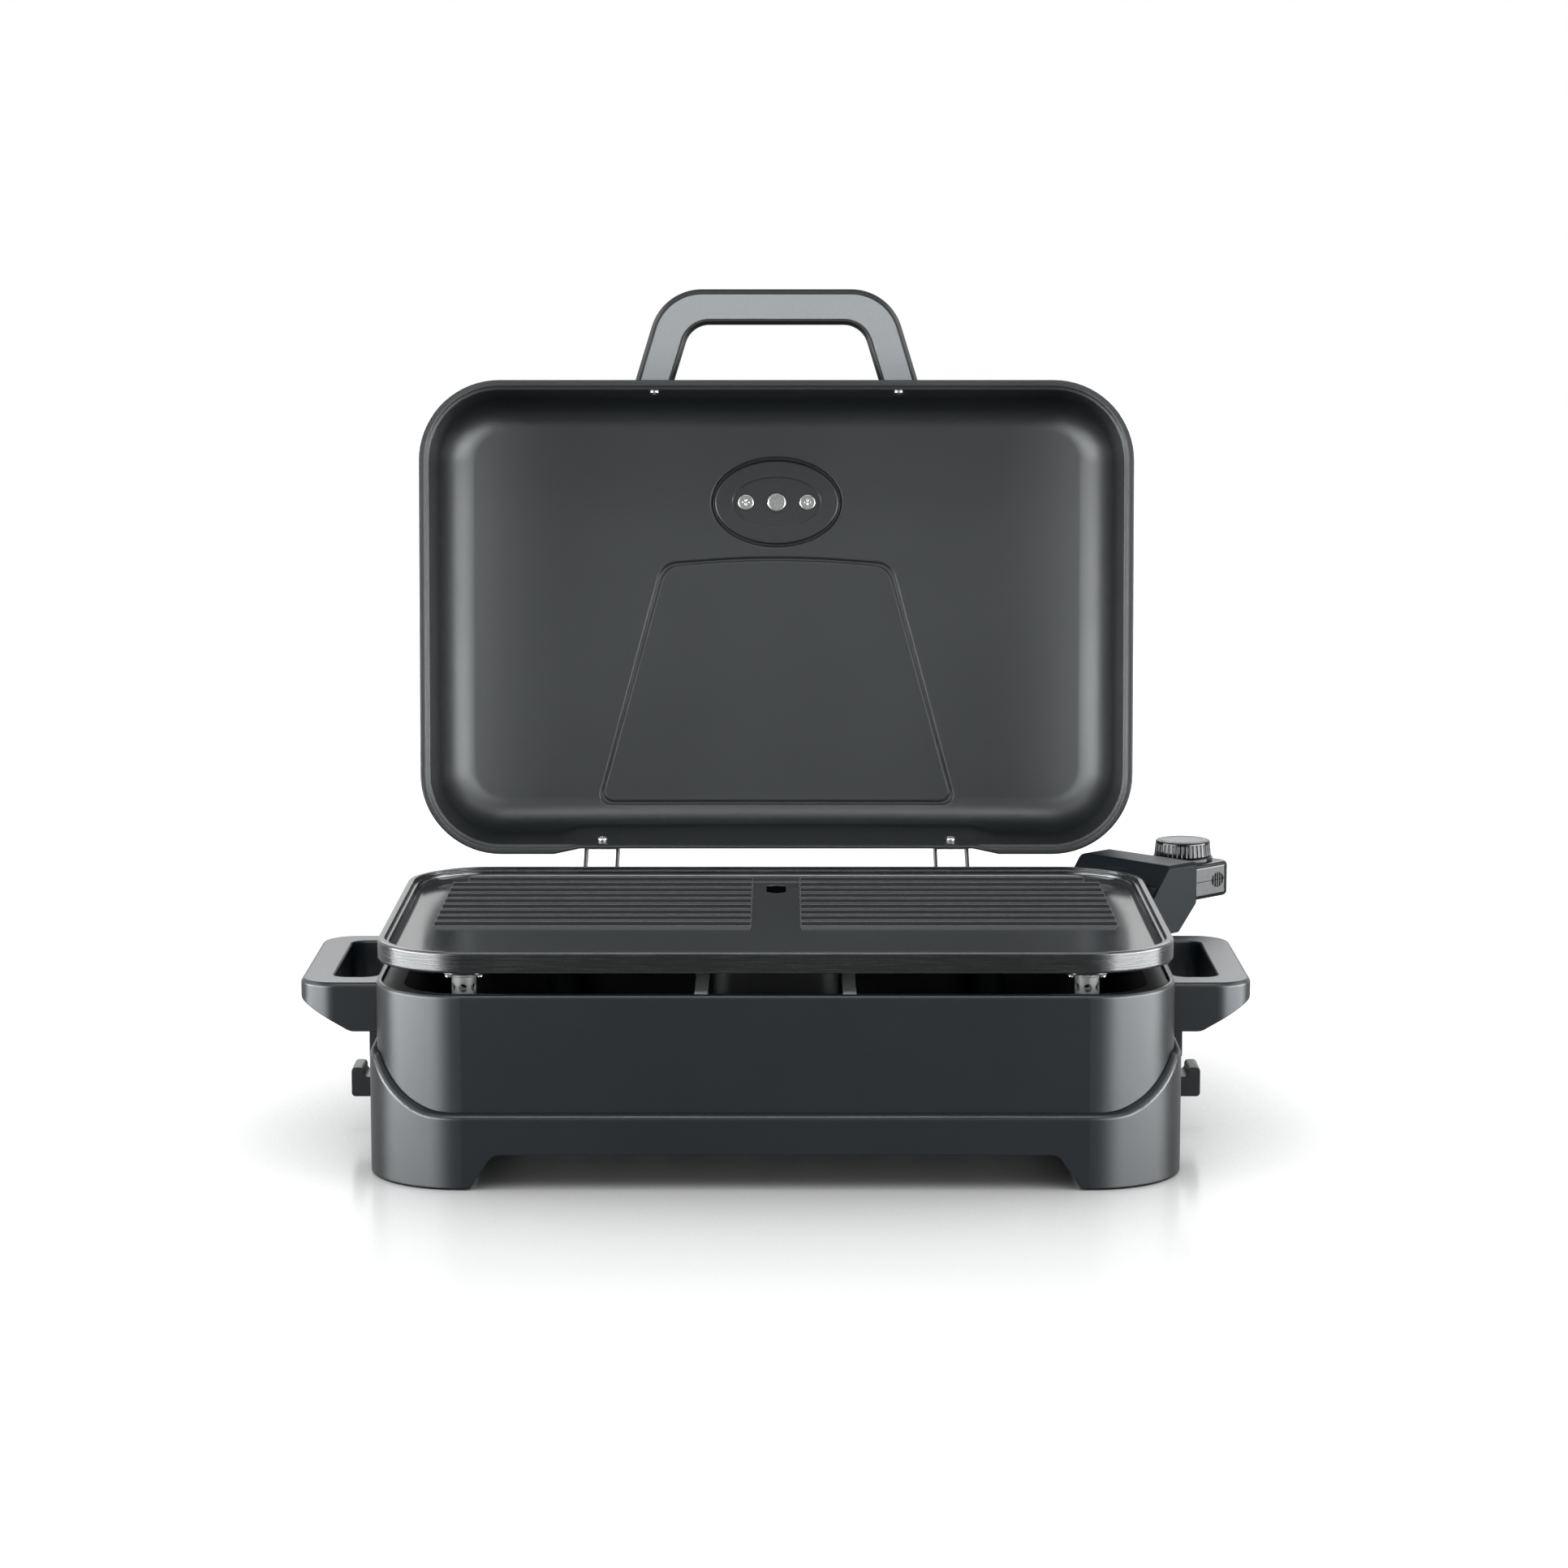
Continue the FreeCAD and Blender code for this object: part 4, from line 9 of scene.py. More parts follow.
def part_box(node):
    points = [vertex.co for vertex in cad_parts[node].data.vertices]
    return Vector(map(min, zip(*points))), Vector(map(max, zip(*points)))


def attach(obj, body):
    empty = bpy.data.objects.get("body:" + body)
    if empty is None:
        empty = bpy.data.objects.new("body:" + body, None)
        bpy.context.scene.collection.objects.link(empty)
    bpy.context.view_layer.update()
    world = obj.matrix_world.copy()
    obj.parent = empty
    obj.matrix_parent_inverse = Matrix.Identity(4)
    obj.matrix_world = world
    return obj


with open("model.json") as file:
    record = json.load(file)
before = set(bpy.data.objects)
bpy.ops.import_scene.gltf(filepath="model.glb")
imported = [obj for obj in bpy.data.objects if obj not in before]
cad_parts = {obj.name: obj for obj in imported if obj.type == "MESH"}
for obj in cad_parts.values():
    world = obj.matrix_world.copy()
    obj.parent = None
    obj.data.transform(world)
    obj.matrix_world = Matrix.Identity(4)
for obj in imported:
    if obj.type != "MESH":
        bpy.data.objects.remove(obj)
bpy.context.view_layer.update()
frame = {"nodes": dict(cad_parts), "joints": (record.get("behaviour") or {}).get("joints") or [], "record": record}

# Electric table grill with its lid open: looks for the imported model. Metres and degrees, +Z up.
NODES = frame["nodes"]
JOINTS = {joint["name"]: joint for joint in frame["joints"]}
NODES_OF_SLOT = {}
for subpart in frame["record"]["subparts"]:
    NODES_OF_SLOT.setdefault(subpart["material_slot"], []).append(subpart["node"])

# Camera, as the photograph was taken
CAMERA_LENS = 95.83
CAMERA_PLACE = Vector((-0.0005, -2.690, 0.6008))
CAMERA_PITCH = 8.27
CAMERA_SENSOR = 36.0
CAMERA_REACH = 50.0

# White room: the dim part behind the camera, where the backdrop starts and is full, and the fill on all sides
ROOM_LEVEL = 0.2
BACKDROP_START = -0.25
BACKDROP_FULL = 0.35
FILL_LEVEL = 0.3

# Table: its own white, its tint and gloss, and the object's shadow on it
TABLE_HALF = 8.0
TABLE_GLOW = 0.8
TABLE_TINT = 0.3
TABLE_GLOSS = 0.16
SHADOW_REACH = 0.25
SHADOW_DEPTH = 1.7
SHADOW_SAMPLES = 8

# Lamps as place, target, width, height and radiance; the paired ones stand on both sides
LAMP_TINT = (0.96, 0.985, 1.0)
PAIRED_LAMPS = {
    "box": ((2.2, -0.4, 1.7), (0, -0.2, 0.3), 2.8, 1.2, 3.0),
    "card": ((1.83, -0.73, 0.2), (0.13, 0.07, 0.2), 2.6, 0.38, 23.0),
    "lid_card": ((1.3, -2.1, 0.6), (0, 0.1, 0.4), 0.9, 0.7, 7.0),
}
SINGLE_LAMPS = {
    "front_box": ((0, -2.2, 2.6), (0, 0, 0.2), 1.8, 1.0, 2.0),
    "rib_card": ((0, -1.5, 2.3), (0, 0, 0.15), 2.2, 0.5, 7.0),
    "back_box": ((0, 2.6, 1.6), (0, 0, 0.3), 2.4, 1.2, 3.0),
    "front_fill": ((0, -3.2, 0.78), (0, 0, 0.13), 1.6, 0.6, 6.0),
}
# Cards show only as highlights, and the fill makes none
HIGHLIGHT_LAMPS = ("card", "lid_card", "rib_card")
DULL_LAMPS = ("front_fill",)

# Moulded grain: slow clouds of shade and fine specks, and how far each moves the gloss
CLOUD_SCALE = 9.0
SPECK_SWING = 0.25
CLOUD_GLOSS = 0.6
SPECK_GLOSS = 0.3
MOULDED_RELIEF_STRENGTH = 0.35
MOULDED_EDGE_REACH = 0.0008
EDGE_POLISH = 0.25

# Rolled streaks: share of streaks against clouds, and how far they move the gloss
STREAK_SHARE = 0.7
METAL_CLOUD_SCALE = 35.0
STREAK_GLOSS = 0.5
METAL_RELIEF = 0.00003
METAL_RELIEF_STRENGTH = 0.25
METAL_EDGE_REACH = 0.0005
METAL_EDGE_AMOUNT = 0.6
METAL_EDGE_GAIN = 1.5
METAL_LIGHTEST = 0.95

# Rubbed edges: the turn of the surface where rubbing starts and is full, and how it is broken up
EDGE_START = 0.97
EDGE_FULL = 0.75
EDGE_BREAK_SCALE = 160.0
EDGE_BREAK_LOW = 0.35
EDGE_BREAK_HIGH = 0.65
EDGE_LEAST = 0.3
BEVEL_SAMPLES = 6

# Noise values that count as low and high
NOISE_LOW = 0.3
NOISE_HIGH = 0.7

# Cooking plate: its milled border, the cutter's lines there and the grain elsewhere
PLATE_BORDER = 0.016
MILLED_STRETCH = (40.0, 40.0, 1500.0)
MILLED_GLOSS = 0.2
MILLED_DEPTH = 2.0
PLATE_GRAIN = 0.25

# Film on the thermometer's window
FILM_SCALE = 120.0
FILM_GLOSS = 0.04

# Crown of the lid's roof: where it starts from the middle, how fast it leans and the most it leans
LID_MIDDLE = (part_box("lid_shell")[0].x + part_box("lid_shell")[1].x) / 2
CROWN_START = 0.14
CROWN_RATE = 2.6
CROWN_LEAN = 0.2

# Thermometer dial
NEEDLE_LIFT = 0.0014
DIAL_RADIUS = 0.0219
DIAL_START = 210.0
DIAL_SWEEP = 240.0
DIAL_STEPS = 6
DIAL_STEP_VALUE = 50
DIAL_FINE_STEPS = 5
MARK_RISE = 0.00012

# Dial marks as shares of the dial's radius: where they start, their half width and where they end
MAIN_MARK = (0.76, 0.018)
FINE_MARK = (0.84, 0.009)
MARK_END = 0.92
SCALE_LINE_END = 0.935
FIGURE_SIZE = 0.2
FIGURE_PLACE = 0.58

# Hot band: its radii as shares of the dial's, and its share of the sweep
HOT_BAND_INNER = 0.94
HOT_BAND_OUTER = 0.985
HOT_BAND_START = 0.62
HOT_BAND_SHARE = 0.38

# Knob marks
KNOB_MARK_RISE = 0.00025
KNOB_RING_RADIUS = 0.0148
KNOB_RING_WIDTH = 0.0007
KNOB_ZERO = -135.0
POINTER_START = 0.0085
POINTER_SHOULDER = 0.0135
POINTER_TIP = 0.0142
POINTER_HALF = 0.0008


# Shader node groups

def new_group(name, inputs, outputs):
    """Empty shader group with named sockets; inputs are (label, kind, default)."""
    tree = bpy.data.node_groups.new(name, "ShaderNodeTree")
    for label, kind, default in inputs:
        socket = tree.interface.new_socket(name=label, in_out="INPUT", socket_type=kind)
        socket.default_value = default
    for label, kind in outputs:
        tree.interface.new_socket(name=label, in_out="OUTPUT", socket_type=kind)
    return tree, tree.nodes.new("NodeGroupInput"), tree.nodes.new("NodeGroupOutput")


def feed(tree, socket, value):
    """Links an output into a socket, or sets the socket's own value."""
    if isinstance(value, bpy.types.NodeSocket):
        tree.links.new(value, socket)
    else:
        socket.default_value = value


def maths(tree, operation, first, second=0.0):
    """One step of arithmetic on numbers."""
    node = tree.nodes.new("ShaderNodeMath")
    node.operation = operation
    feed(tree, node.inputs[0], first)
    feed(tree, node.inputs[1], second)
    return node.outputs[0]


def vectors(tree, operation, first, second=(0, 0, 0)):
    """One step of arithmetic on vectors."""
    node = tree.nodes.new("ShaderNodeVectorMath")
    node.operation = operation
    feed(tree, node.inputs[0], first)
    feed(tree, node.inputs[1], second)
    return node.outputs[0]


def remapped(tree, value, from_low, from_high, to_low, to_high):
    """Value moved from one range to another and held inside it."""
    node = tree.nodes.new("ShaderNodeMapRange")
    for label, amount in (("Value", value), ("From Min", from_low), ("From Max", from_high),
                          ("To Min", to_low), ("To Max", to_high)):
        feed(tree, node.inputs[label], amount)
    return node.outputs["Result"]


def blended(tree, factor, first, second, mode="MIX"):
    """Two colours mixed by a factor."""
    node = tree.nodes.new("ShaderNodeMix")
    node.data_type = "RGBA"
    node.blend_type = mode
    feed(tree, node.inputs["Factor"], factor)
    feed(tree, node.inputs["A"], first)
    feed(tree, node.inputs["B"], second)
    return node.outputs["Result"]


def place_on_piece(tree, stretch=(1, 1, 1)):
    """Coordinates that stay with the piece, stretched along its axes."""
    place = tree.nodes.new("ShaderNodeTexCoord").outputs["Object"]
    return vectors(tree, "MULTIPLY", place, stretch)


def noise(tree, place, scale, detail, roughness=0.5):
    """Cloudy values between 0 and 1."""
    node = tree.nodes.new("ShaderNodeTexNoise")
    for label, amount in (("Vector", place), ("Scale", scale), ("Detail", detail), ("Roughness", roughness)):
        feed(tree, node.inputs[label], amount)
    return node.outputs["Fac"]


def swung(tree, value, swing):
    """Noise centred on nothing, times its swing."""
    return maths(tree, "MULTIPLY", maths(tree, "SUBTRACT", value, 0.5), swing)


def shaded(tree, tint, bright):
    """Colour made lighter or darker."""
    grey = tree.nodes.new("ShaderNodeCombineColor")
    for label in ("Red", "Green", "Blue"):
        feed(tree, grey.inputs[label], bright)
    return blended(tree, 1.0, tint, grey.outputs[0], "MULTIPLY")


def make_moulded_grain():
    """Spark-eroded grain of a moulding: fine height, uneven gloss and a slow drift of colour."""
    tree, given, result = new_group(
        "Moulded grain",
        [("Colour", "NodeSocketColor", (0.03, 0.03, 0.03, 1)), ("Grain", "NodeSocketFloat", 1400.0),
         ("Gloss", "NodeSocketFloat", 0.45), ("Drift", "NodeSocketFloat", 0.12)],
        [("Colour", "NodeSocketColor"), ("Roughness", "NodeSocketFloat"), ("Height", "NodeSocketFloat")])
    place = place_on_piece(tree)
    fine = noise(tree, place, given.outputs["Grain"], 1.5)
    slow = noise(tree, place, CLOUD_SCALE, 3.0)
    shade = swung(tree, slow, given.outputs["Drift"])
    speck = swung(tree, fine, SPECK_SWING)
    bright = maths(tree, "ADD", maths(tree, "ADD", shade, speck), 1.0)
    feed(tree, result.inputs["Colour"], shaded(tree, given.outputs["Colour"], bright))
    gloss = maths(tree, "ADD", given.outputs["Gloss"], maths(tree, "MULTIPLY", shade, CLOUD_GLOSS))
    gloss = maths(tree, "ADD", gloss, maths(tree, "MULTIPLY", speck, SPECK_GLOSS))
    feed(tree, result.inputs["Roughness"], gloss)
    feed(tree, result.inputs["Height"], fine)
    return tree


def make_rolled_streaks():
    """Streaks of rolled, drawn or brushed metal, along the axis that is stretched least."""
    tree, given, result = new_group(
        "Rolled streaks",
        [("Colour", "NodeSocketColor", (0.5, 0.5, 0.5, 1)),
         ("Stretch", "NodeSocketVector", (30.0, 900.0, 900.0)),
         ("Gloss", "NodeSocketFloat", 0.3), ("Depth", "NodeSocketFloat", 0.3)],
        [("Colour", "NodeSocketColor"), ("Roughness", "NodeSocketFloat"), ("Height", "NodeSocketFloat")])
    place = place_on_piece(tree, given.outputs["Stretch"])
    streak = noise(tree, place, 1.0, 4.0, 0.6)
    cloud = noise(tree, place_on_piece(tree), METAL_CLOUD_SCALE, 3.0)
    streak_part = maths(tree, "MULTIPLY", streak, STREAK_SHARE)
    cloud_part = maths(tree, "MULTIPLY", cloud, 1.0 - STREAK_SHARE)
    swing = swung(tree, maths(tree, "ADD", streak_part, cloud_part), given.outputs["Depth"])
    bright = maths(tree, "ADD", swing, 1.0)
    feed(tree, result.inputs["Colour"], shaded(tree, given.outputs["Colour"], bright))
    gloss = maths(tree, "ADD", given.outputs["Gloss"], maths(tree, "MULTIPLY", swing, STREAK_GLOSS))
    feed(tree, result.inputs["Roughness"], gloss)
    feed(tree, result.inputs["Height"], streak)
    return tree


def make_rubbed_edges():
    """Mask of edges that hands and cloths have rubbed, broken up by noise, and the rounded normal there."""
    tree, given, result = new_group(
        "Rubbed edges", [("Reach", "NodeSocketFloat", 0.0008), ("Amount", "NodeSocketFloat", 1.0)],
        [("Mask", "NodeSocketFloat"), ("Normal", "NodeSocketVector")])
    bevel = tree.nodes.new("ShaderNodeBevel")
    bevel.samples = BEVEL_SAMPLES
    feed(tree, bevel.inputs["Radius"], given.outputs["Reach"])
    facing = tree.nodes.new("ShaderNodeVectorMath")
    facing.operation = "DOT_PRODUCT"
    feed(tree, facing.inputs[0], bevel.outputs["Normal"])
    feed(tree, facing.inputs[1], tree.nodes.new("ShaderNodeNewGeometry").outputs["Normal"])
    edge = remapped(tree, facing.outputs["Value"], EDGE_START, EDGE_FULL, 0.0, 1.0)
    patches = noise(tree, place_on_piece(tree), EDGE_BREAK_SCALE, 4.0)
    broken = remapped(tree, patches, EDGE_BREAK_LOW, EDGE_BREAK_HIGH, EDGE_LEAST, 1.0)
    mask = maths(tree, "MULTIPLY", maths(tree, "MULTIPLY", edge, broken), given.outputs["Amount"])
    feed(tree, result.inputs["Mask"], mask)
    feed(tree, result.inputs["Normal"], bevel.outputs["Normal"])
    return tree


MOULDED_GRAIN = make_moulded_grain()
ROLLED_STREAKS = make_rolled_streaks()
RUBBED_EDGES = make_rubbed_edges()


# Materials

def new_material(name):
    """Empty material with one shader."""
    material = bpy.data.materials.new(name)
    material.use_nodes = True
    tree = material.node_tree
    tree.nodes.clear()
    shader = tree.nodes.new("ShaderNodeBsdfPrincipled")
    output = tree.nodes.new("ShaderNodeOutputMaterial")
    tree.links.new(shader.outputs["BSDF"], output.inputs["Surface"])
    return material, tree, shader


def use_group(tree, group, **values):
    """A group in a material, with its values."""
    node = tree.nodes.new("ShaderNodeGroup")
    node.node_tree = group
    for label, amount in values.items():
        feed(tree, node.inputs[label], amount)
    return node


def bump(tree, shader, height, distance, strength, normal):
    """Fine relief on top of a normal."""
    node = tree.nodes.new("ShaderNodeBump")
    node.inputs["Distance"].default_value = distance
    node.inputs["Strength"].default_value = strength
    feed(tree, node.inputs["Height"], height)
    feed(tree, node.inputs["Normal"], normal)
    feed(tree, shader.inputs["Normal"], node.outputs["Normal"])


def colour(*rgb):
    """Opaque colour."""
    return (*rgb, 1.0)


def moulded(name, tint, gloss, grain=1400.0, relief=0.00004, drift=0.12, rubbed=0.25, rubbed_tint=2.4,
            shine=0.5):
    """Moulded plastic with a fine grain and slightly polished edges."""
    material, tree, shader = new_material(name)
    shader.inputs["Specular IOR Level"].default_value = shine
    skin = use_group(tree, MOULDED_GRAIN, Colour=colour(*tint), Grain=grain, Gloss=gloss, Drift=drift)
    edges = use_group(tree, RUBBED_EDGES, Reach=MOULDED_EDGE_REACH, Amount=rubbed)
    worn = colour(*(channel * rubbed_tint for channel in tint))
    feed(tree, shader.inputs["Base Color"], blended(tree, edges.outputs["Mask"], skin.outputs["Colour"], worn))
    polish = maths(tree, "MULTIPLY", edges.outputs["Mask"], EDGE_POLISH)
    feed(tree, shader.inputs["Roughness"], maths(tree, "SUBTRACT", skin.outputs["Roughness"], polish))
    bump(tree, shader, skin.outputs["Height"], relief, MOULDED_RELIEF_STRENGTH, edges.outputs["Normal"])
    return material


def metal(name, tint, gloss, stretch=(30.0, 900.0, 900.0), depth=0.3):
    """Bare metal with streaks along its working direction and brighter edges."""
    material, tree, shader = new_material(name)
    shader.inputs["Metallic"].default_value = 1.0
    skin = use_group(tree, ROLLED_STREAKS, Colour=colour(*tint), Stretch=stretch, Gloss=gloss, Depth=depth)
    edges = use_group(tree, RUBBED_EDGES, Reach=METAL_EDGE_REACH, Amount=METAL_EDGE_AMOUNT)
    bright = colour(*(min(channel * METAL_EDGE_GAIN, METAL_LIGHTEST) for channel in tint))
    rubbed = blended(tree, edges.outputs["Mask"], skin.outputs["Colour"], bright)
    feed(tree, shader.inputs["Base Color"], rubbed)
    feed(tree, shader.inputs["Roughness"], skin.outputs["Roughness"])
    bump(tree, shader, skin.outputs["Height"], METAL_RELIEF, METAL_RELIEF_STRENGTH, edges.outputs["Normal"])
    return material


def axis_of(tree, vector, axis):
    """One number of a vector."""
    node = tree.nodes.new("ShaderNodeSeparateXYZ")
    feed(tree, node.inputs[0], vector)
    return node.outputs[axis]


def piece_normal(tree):
    """Surface direction in the piece's own axes, so that it turns with the piece."""
    node = tree.nodes.new("ShaderNodeVectorTransform")
    node.vector_type = "NORMAL"
    node.convert_from = "WORLD"
    node.convert_to = "OBJECT"
    feed(tree, node.inputs[0], tree.nodes.new("ShaderNodeNewGeometry").outputs["Normal"])
    return node.outputs[0]


def crowned_roof(tree, normal):
    """Leans the normal of the lid's roof inwards near its ends, as a pressed sheet draws up to its walls."""
    across = axis_of(tree, tree.nodes.new("ShaderNodeTexCoord").outputs["Object"], "X")
    off_middle = maths(tree, "SUBTRACT", across, LID_MIDDLE)
    near_end = maths(tree, "SUBTRACT", maths(tree, "ABSOLUTE", off_middle), CROWN_START)
    rise = maths(tree, "MULTIPLY", maths(tree, "MAXIMUM", near_end, 0.0), CROWN_RATE)
    lean = maths(tree, "MINIMUM", rise, CROWN_LEAN)
    facing = axis_of(tree, piece_normal(tree), "Y")
    inward = maths(tree, "MULTIPLY", maths(tree, "SIGN", off_middle), facing)
    roof = maths(tree, "ABSOLUTE", facing)
    tilt = tree.nodes.new("ShaderNodeCombineXYZ")
    feed(tree, tilt.inputs["X"], maths(tree, "MULTIPLY", maths(tree, "MULTIPLY", inward, lean), roof))
    return vectors(tree, "NORMALIZE", vectors(tree, "ADD", normal, tilt.outputs[0]))


def lid_paint():
    """Satin dark grey baked paint with a faint orange-peel skin."""
    material, tree, shader = new_material("lid_paint")
    shader.inputs["Specular IOR Level"].default_value = 0.58
    paint = colour(0.0095, 0.013, 0.0155)
    skin = use_group(tree, MOULDED_GRAIN, Colour=paint, Grain=420.0, Gloss=0.42, Drift=0.15)
    edges = use_group(tree, RUBBED_EDGES, Reach=0.0009, Amount=0.3)
    rolled = use_group(tree, RUBBED_EDGES, Reach=0.0022)
    worn = colour(0.07, 0.075, 0.08)
    feed(tree, shader.inputs["Base Color"], blended(tree, edges.outputs["Mask"], skin.outputs["Colour"], worn))
    feed(tree, shader.inputs["Roughness"], skin.outputs["Roughness"])
    crowned = crowned_roof(tree, rolled.outputs["Normal"])
    bump(tree, shader, skin.outputs["Height"], distance=0.00012, strength=0.2, normal=crowned)
    return material


def outside_ribs(tree):
    """1 on the plate's border, 0 on its ribbed fields and strips."""
    low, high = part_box("grill_plate")
    place = tree.nodes.new("ShaderNodeTexCoord").outputs["Object"]
    beyond = []
    for axis, start, end in (("X", low.x, high.x), ("Y", low.y, high.y)):
        from_centre = maths(tree, "SUBTRACT", axis_of(tree, place, axis), (start + end) / 2)
        limit = (end - start) / 2 - PLATE_BORDER
        beyond.append(maths(tree, "GREATER_THAN", maths(tree, "ABSOLUTE", from_centre), limit))
    return maths(tree, "MAXIMUM", *beyond)


def plate_coating():
    """Black non-stick coating on a casting, smooth on top and milled along its edge; its upright faces carry
    painted shade, and its rubbed edges and rib crests a lighter tone that is partly wear and partly a painted
    highlight.
    """
    material, tree, shader = new_material("plate_coating")
    shader.inputs["Specular IOR Level"].default_value = 0.8
    black = colour(0.045, 0.049, 0.052)
    skin = use_group(tree, MOULDED_GRAIN, Colour=black, Grain=950.0, Gloss=0.13, Drift=0.3)
    edges = use_group(tree, RUBBED_EDGES, Reach=0.0009, Amount=0.5)
    # Rubbed edges, rib crests and rim edges among them, turn lighter: partly wear, partly a painted highlight
    worn = colour(0.15, 0.15, 0.155)
    milled = noise(tree, place_on_piece(tree, MILLED_STRETCH), 1.0, 4.0)
    level = maths(tree, "ABSOLUTE", axis_of(tree, piece_normal(tree), "Z"))
    upright = maths(tree, "SUBTRACT", 1.0, level)
    border = maths(tree, "MULTIPLY", upright, outside_ribs(tree))
    # Upright faces, the rib fronts and the plate's edge among them, are painted near-black against the top:
    # painted shade
    coat_and_painted_shade = blended(tree, upright, skin.outputs["Colour"], colour(0.004, 0.0045, 0.005))
    feed(tree, shader.inputs["Base Color"], blended(tree, edges.outputs["Mask"], coat_and_painted_shade, worn))
    uneven = remapped(tree, milled, NOISE_LOW, NOISE_HIGH, 0.0, MILLED_GLOSS)
    cut_gloss = maths(tree, "MULTIPLY", border, uneven)
    feed(tree, shader.inputs["Roughness"], maths(tree, "ADD", skin.outputs["Roughness"], cut_gloss))
    cut_lines = maths(tree, "MULTIPLY", border, maths(tree, "MULTIPLY", milled, MILLED_DEPTH))
    height = maths(tree, "ADD", maths(tree, "MULTIPLY", skin.outputs["Height"], PLATE_GRAIN), cut_lines)
    bump(tree, shader, height, distance=0.0001, strength=0.3, normal=edges.outputs["Normal"])
    return material


def dial_lens():
    """Clear window of the thermometer."""
    material, tree, shader = new_material("dial_lens")
    shader.inputs["Base Color"].default_value = colour(0.97, 0.99, 0.99)
    shader.inputs["Transmission Weight"].default_value = 1.0
    shader.inputs["IOR"].default_value = 1.46
    film = noise(tree, place_on_piece(tree), FILM_SCALE, 3.0)
    feed(tree, shader.inputs["Roughness"], remapped(tree, film, NOISE_LOW, NOISE_HIGH, 0.0, FILM_GLOSS))
    return material


MATERIALS = {
    "base_plastic": moulded("base_plastic", (0.0065, 0.0100, 0.0135), 0.34),
    "pad_rubber": moulded("pad_rubber", (0.015, 0.015, 0.015), 0.75, grain=700.0, relief=0.00012),
    "screw_steel": metal("screw_steel", (0.62, 0.62, 0.61), 0.24, (500.0, 500.0, 500.0)),
    # The liner's near-black tint is painted shade: it stands in for the dark inside of the housing under the plate
    "liner_sheet": metal("liner_sheet", (0.07, 0.07, 0.072), 0.5, (25.0, 500.0, 500.0), 0.5),
    # The bars' near-white colour is painted light: it stands in for the light that the narrow gap under the plate
    # keeps from them
    "bar_steel": moulded("bar_steel", (0.82, 0.83, 0.83), 0.3, grain=900.0, rubbed_tint=1.3, shine=1.0),
    # The drip tray's near-black tint is painted shade, for the same dark inside of the housing
    "tray_sheet": metal("tray_sheet", (0.035, 0.035, 0.036), 0.5, (500.0, 25.0, 500.0)),
    "leg_steel": moulded("leg_steel", (0.5, 0.5, 0.495), 0.4, grain=700.0, rubbed_tint=1.4),
    "plate_coating": plate_coating(),
    "element_steel": metal("element_steel", (0.12, 0.12, 0.12), 0.5),
    "contact_brass": metal("contact_brass", (0.62, 0.45, 0.18), 0.28),
    "terminal_plastic": moulded("terminal_plastic", (0.03, 0.027, 0.024), 0.55),
    "bracket_steel": metal("bracket_steel", (0.4, 0.4, 0.4), 0.35),
    "shroud_plastic": moulded("shroud_plastic", (0.012, 0.0155, 0.019), 0.38, shine=0.06),
    "lid_paint": lid_paint(),
    "hinge_steel": metal("hinge_steel", (0.3, 0.3, 0.3), 0.38, (900.0, 60.0, 60.0)),
    "handle_black": moulded("handle_black", (0.012, 0.012, 0.0125), 0.38),
    "handle_face": moulded("handle_face", (0.43, 0.447, 0.46), 0.38, rubbed_tint=1.2, drift=0.05),
    "gauge_plate": moulded("gauge_plate", (0.03, 0.032, 0.035), 0.34, grain=420.0),
    "gauge_case": moulded("gauge_case", (0.012, 0.012, 0.0125), 0.25),
    "dial_face": moulded("dial_face", (0.75, 0.75, 0.73), 0.45, rubbed=0.0, drift=0.03),
    "dial_needle": moulded("dial_needle", (0.5, 0.02, 0.015), 0.35, rubbed_tint=1.3),
    "dial_lens": dial_lens(),
    "stem_steel": metal("stem_steel", (0.55, 0.55, 0.54), 0.26, (600.0, 600.0, 600.0)),
    "control_black": moulded("control_black", (0.006, 0.0065, 0.007), 0.14, relief=0.00001, shine=0.25),
    "thermostat_plastic": moulded("thermostat_plastic", (0.2, 0.15, 0.08), 0.5),
    "shaft_steel": metal("shaft_steel", (0.5, 0.5, 0.5), 0.3, (600.0, 600.0, 40.0)),
    "knob_grey": moulded("knob_grey", (0.07, 0.073, 0.076), 0.34, rubbed_tint=1.6),
}


def dress_nodes():
    """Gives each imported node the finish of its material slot."""
    for slot, names in NODES_OF_SLOT.items():
        for name in names:
            for holder in NODES[name].material_slots:
                holder.material = MATERIALS[slot]


# Mesh helpers

def mesh_piece(name, build, material, body):
    """New piece from a bmesh that build fills, riding on a body."""
    mesh = bpy.data.meshes.new(name)
    shape = bmesh.new()
    build(shape)
    bmesh.ops.recalc_face_normals(shape, faces=shape.faces)
    shape.to_mesh(mesh)
    shape.free()
    piece = bpy.data.objects.new(name, mesh)
    bpy.context.scene.collection.objects.link(piece)
    mesh.materials.append(material)
    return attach(piece, body)


def raised_outline(shape, matrix, points, rise):
    """Prism on a flat outline, in the plane of matrix."""
    low = [shape.verts.new(matrix @ Vector((u, v, 0))) for u, v in points]
    high = [shape.verts.new(matrix @ Vector((u, v, rise))) for u, v in points]
    shape.faces.new(low)
    shape.faces.new(high)
    for index in range(len(points)):
        after = (index + 1) % len(points)
        shape.faces.new((low[index], low[after], high[after], high[index]))


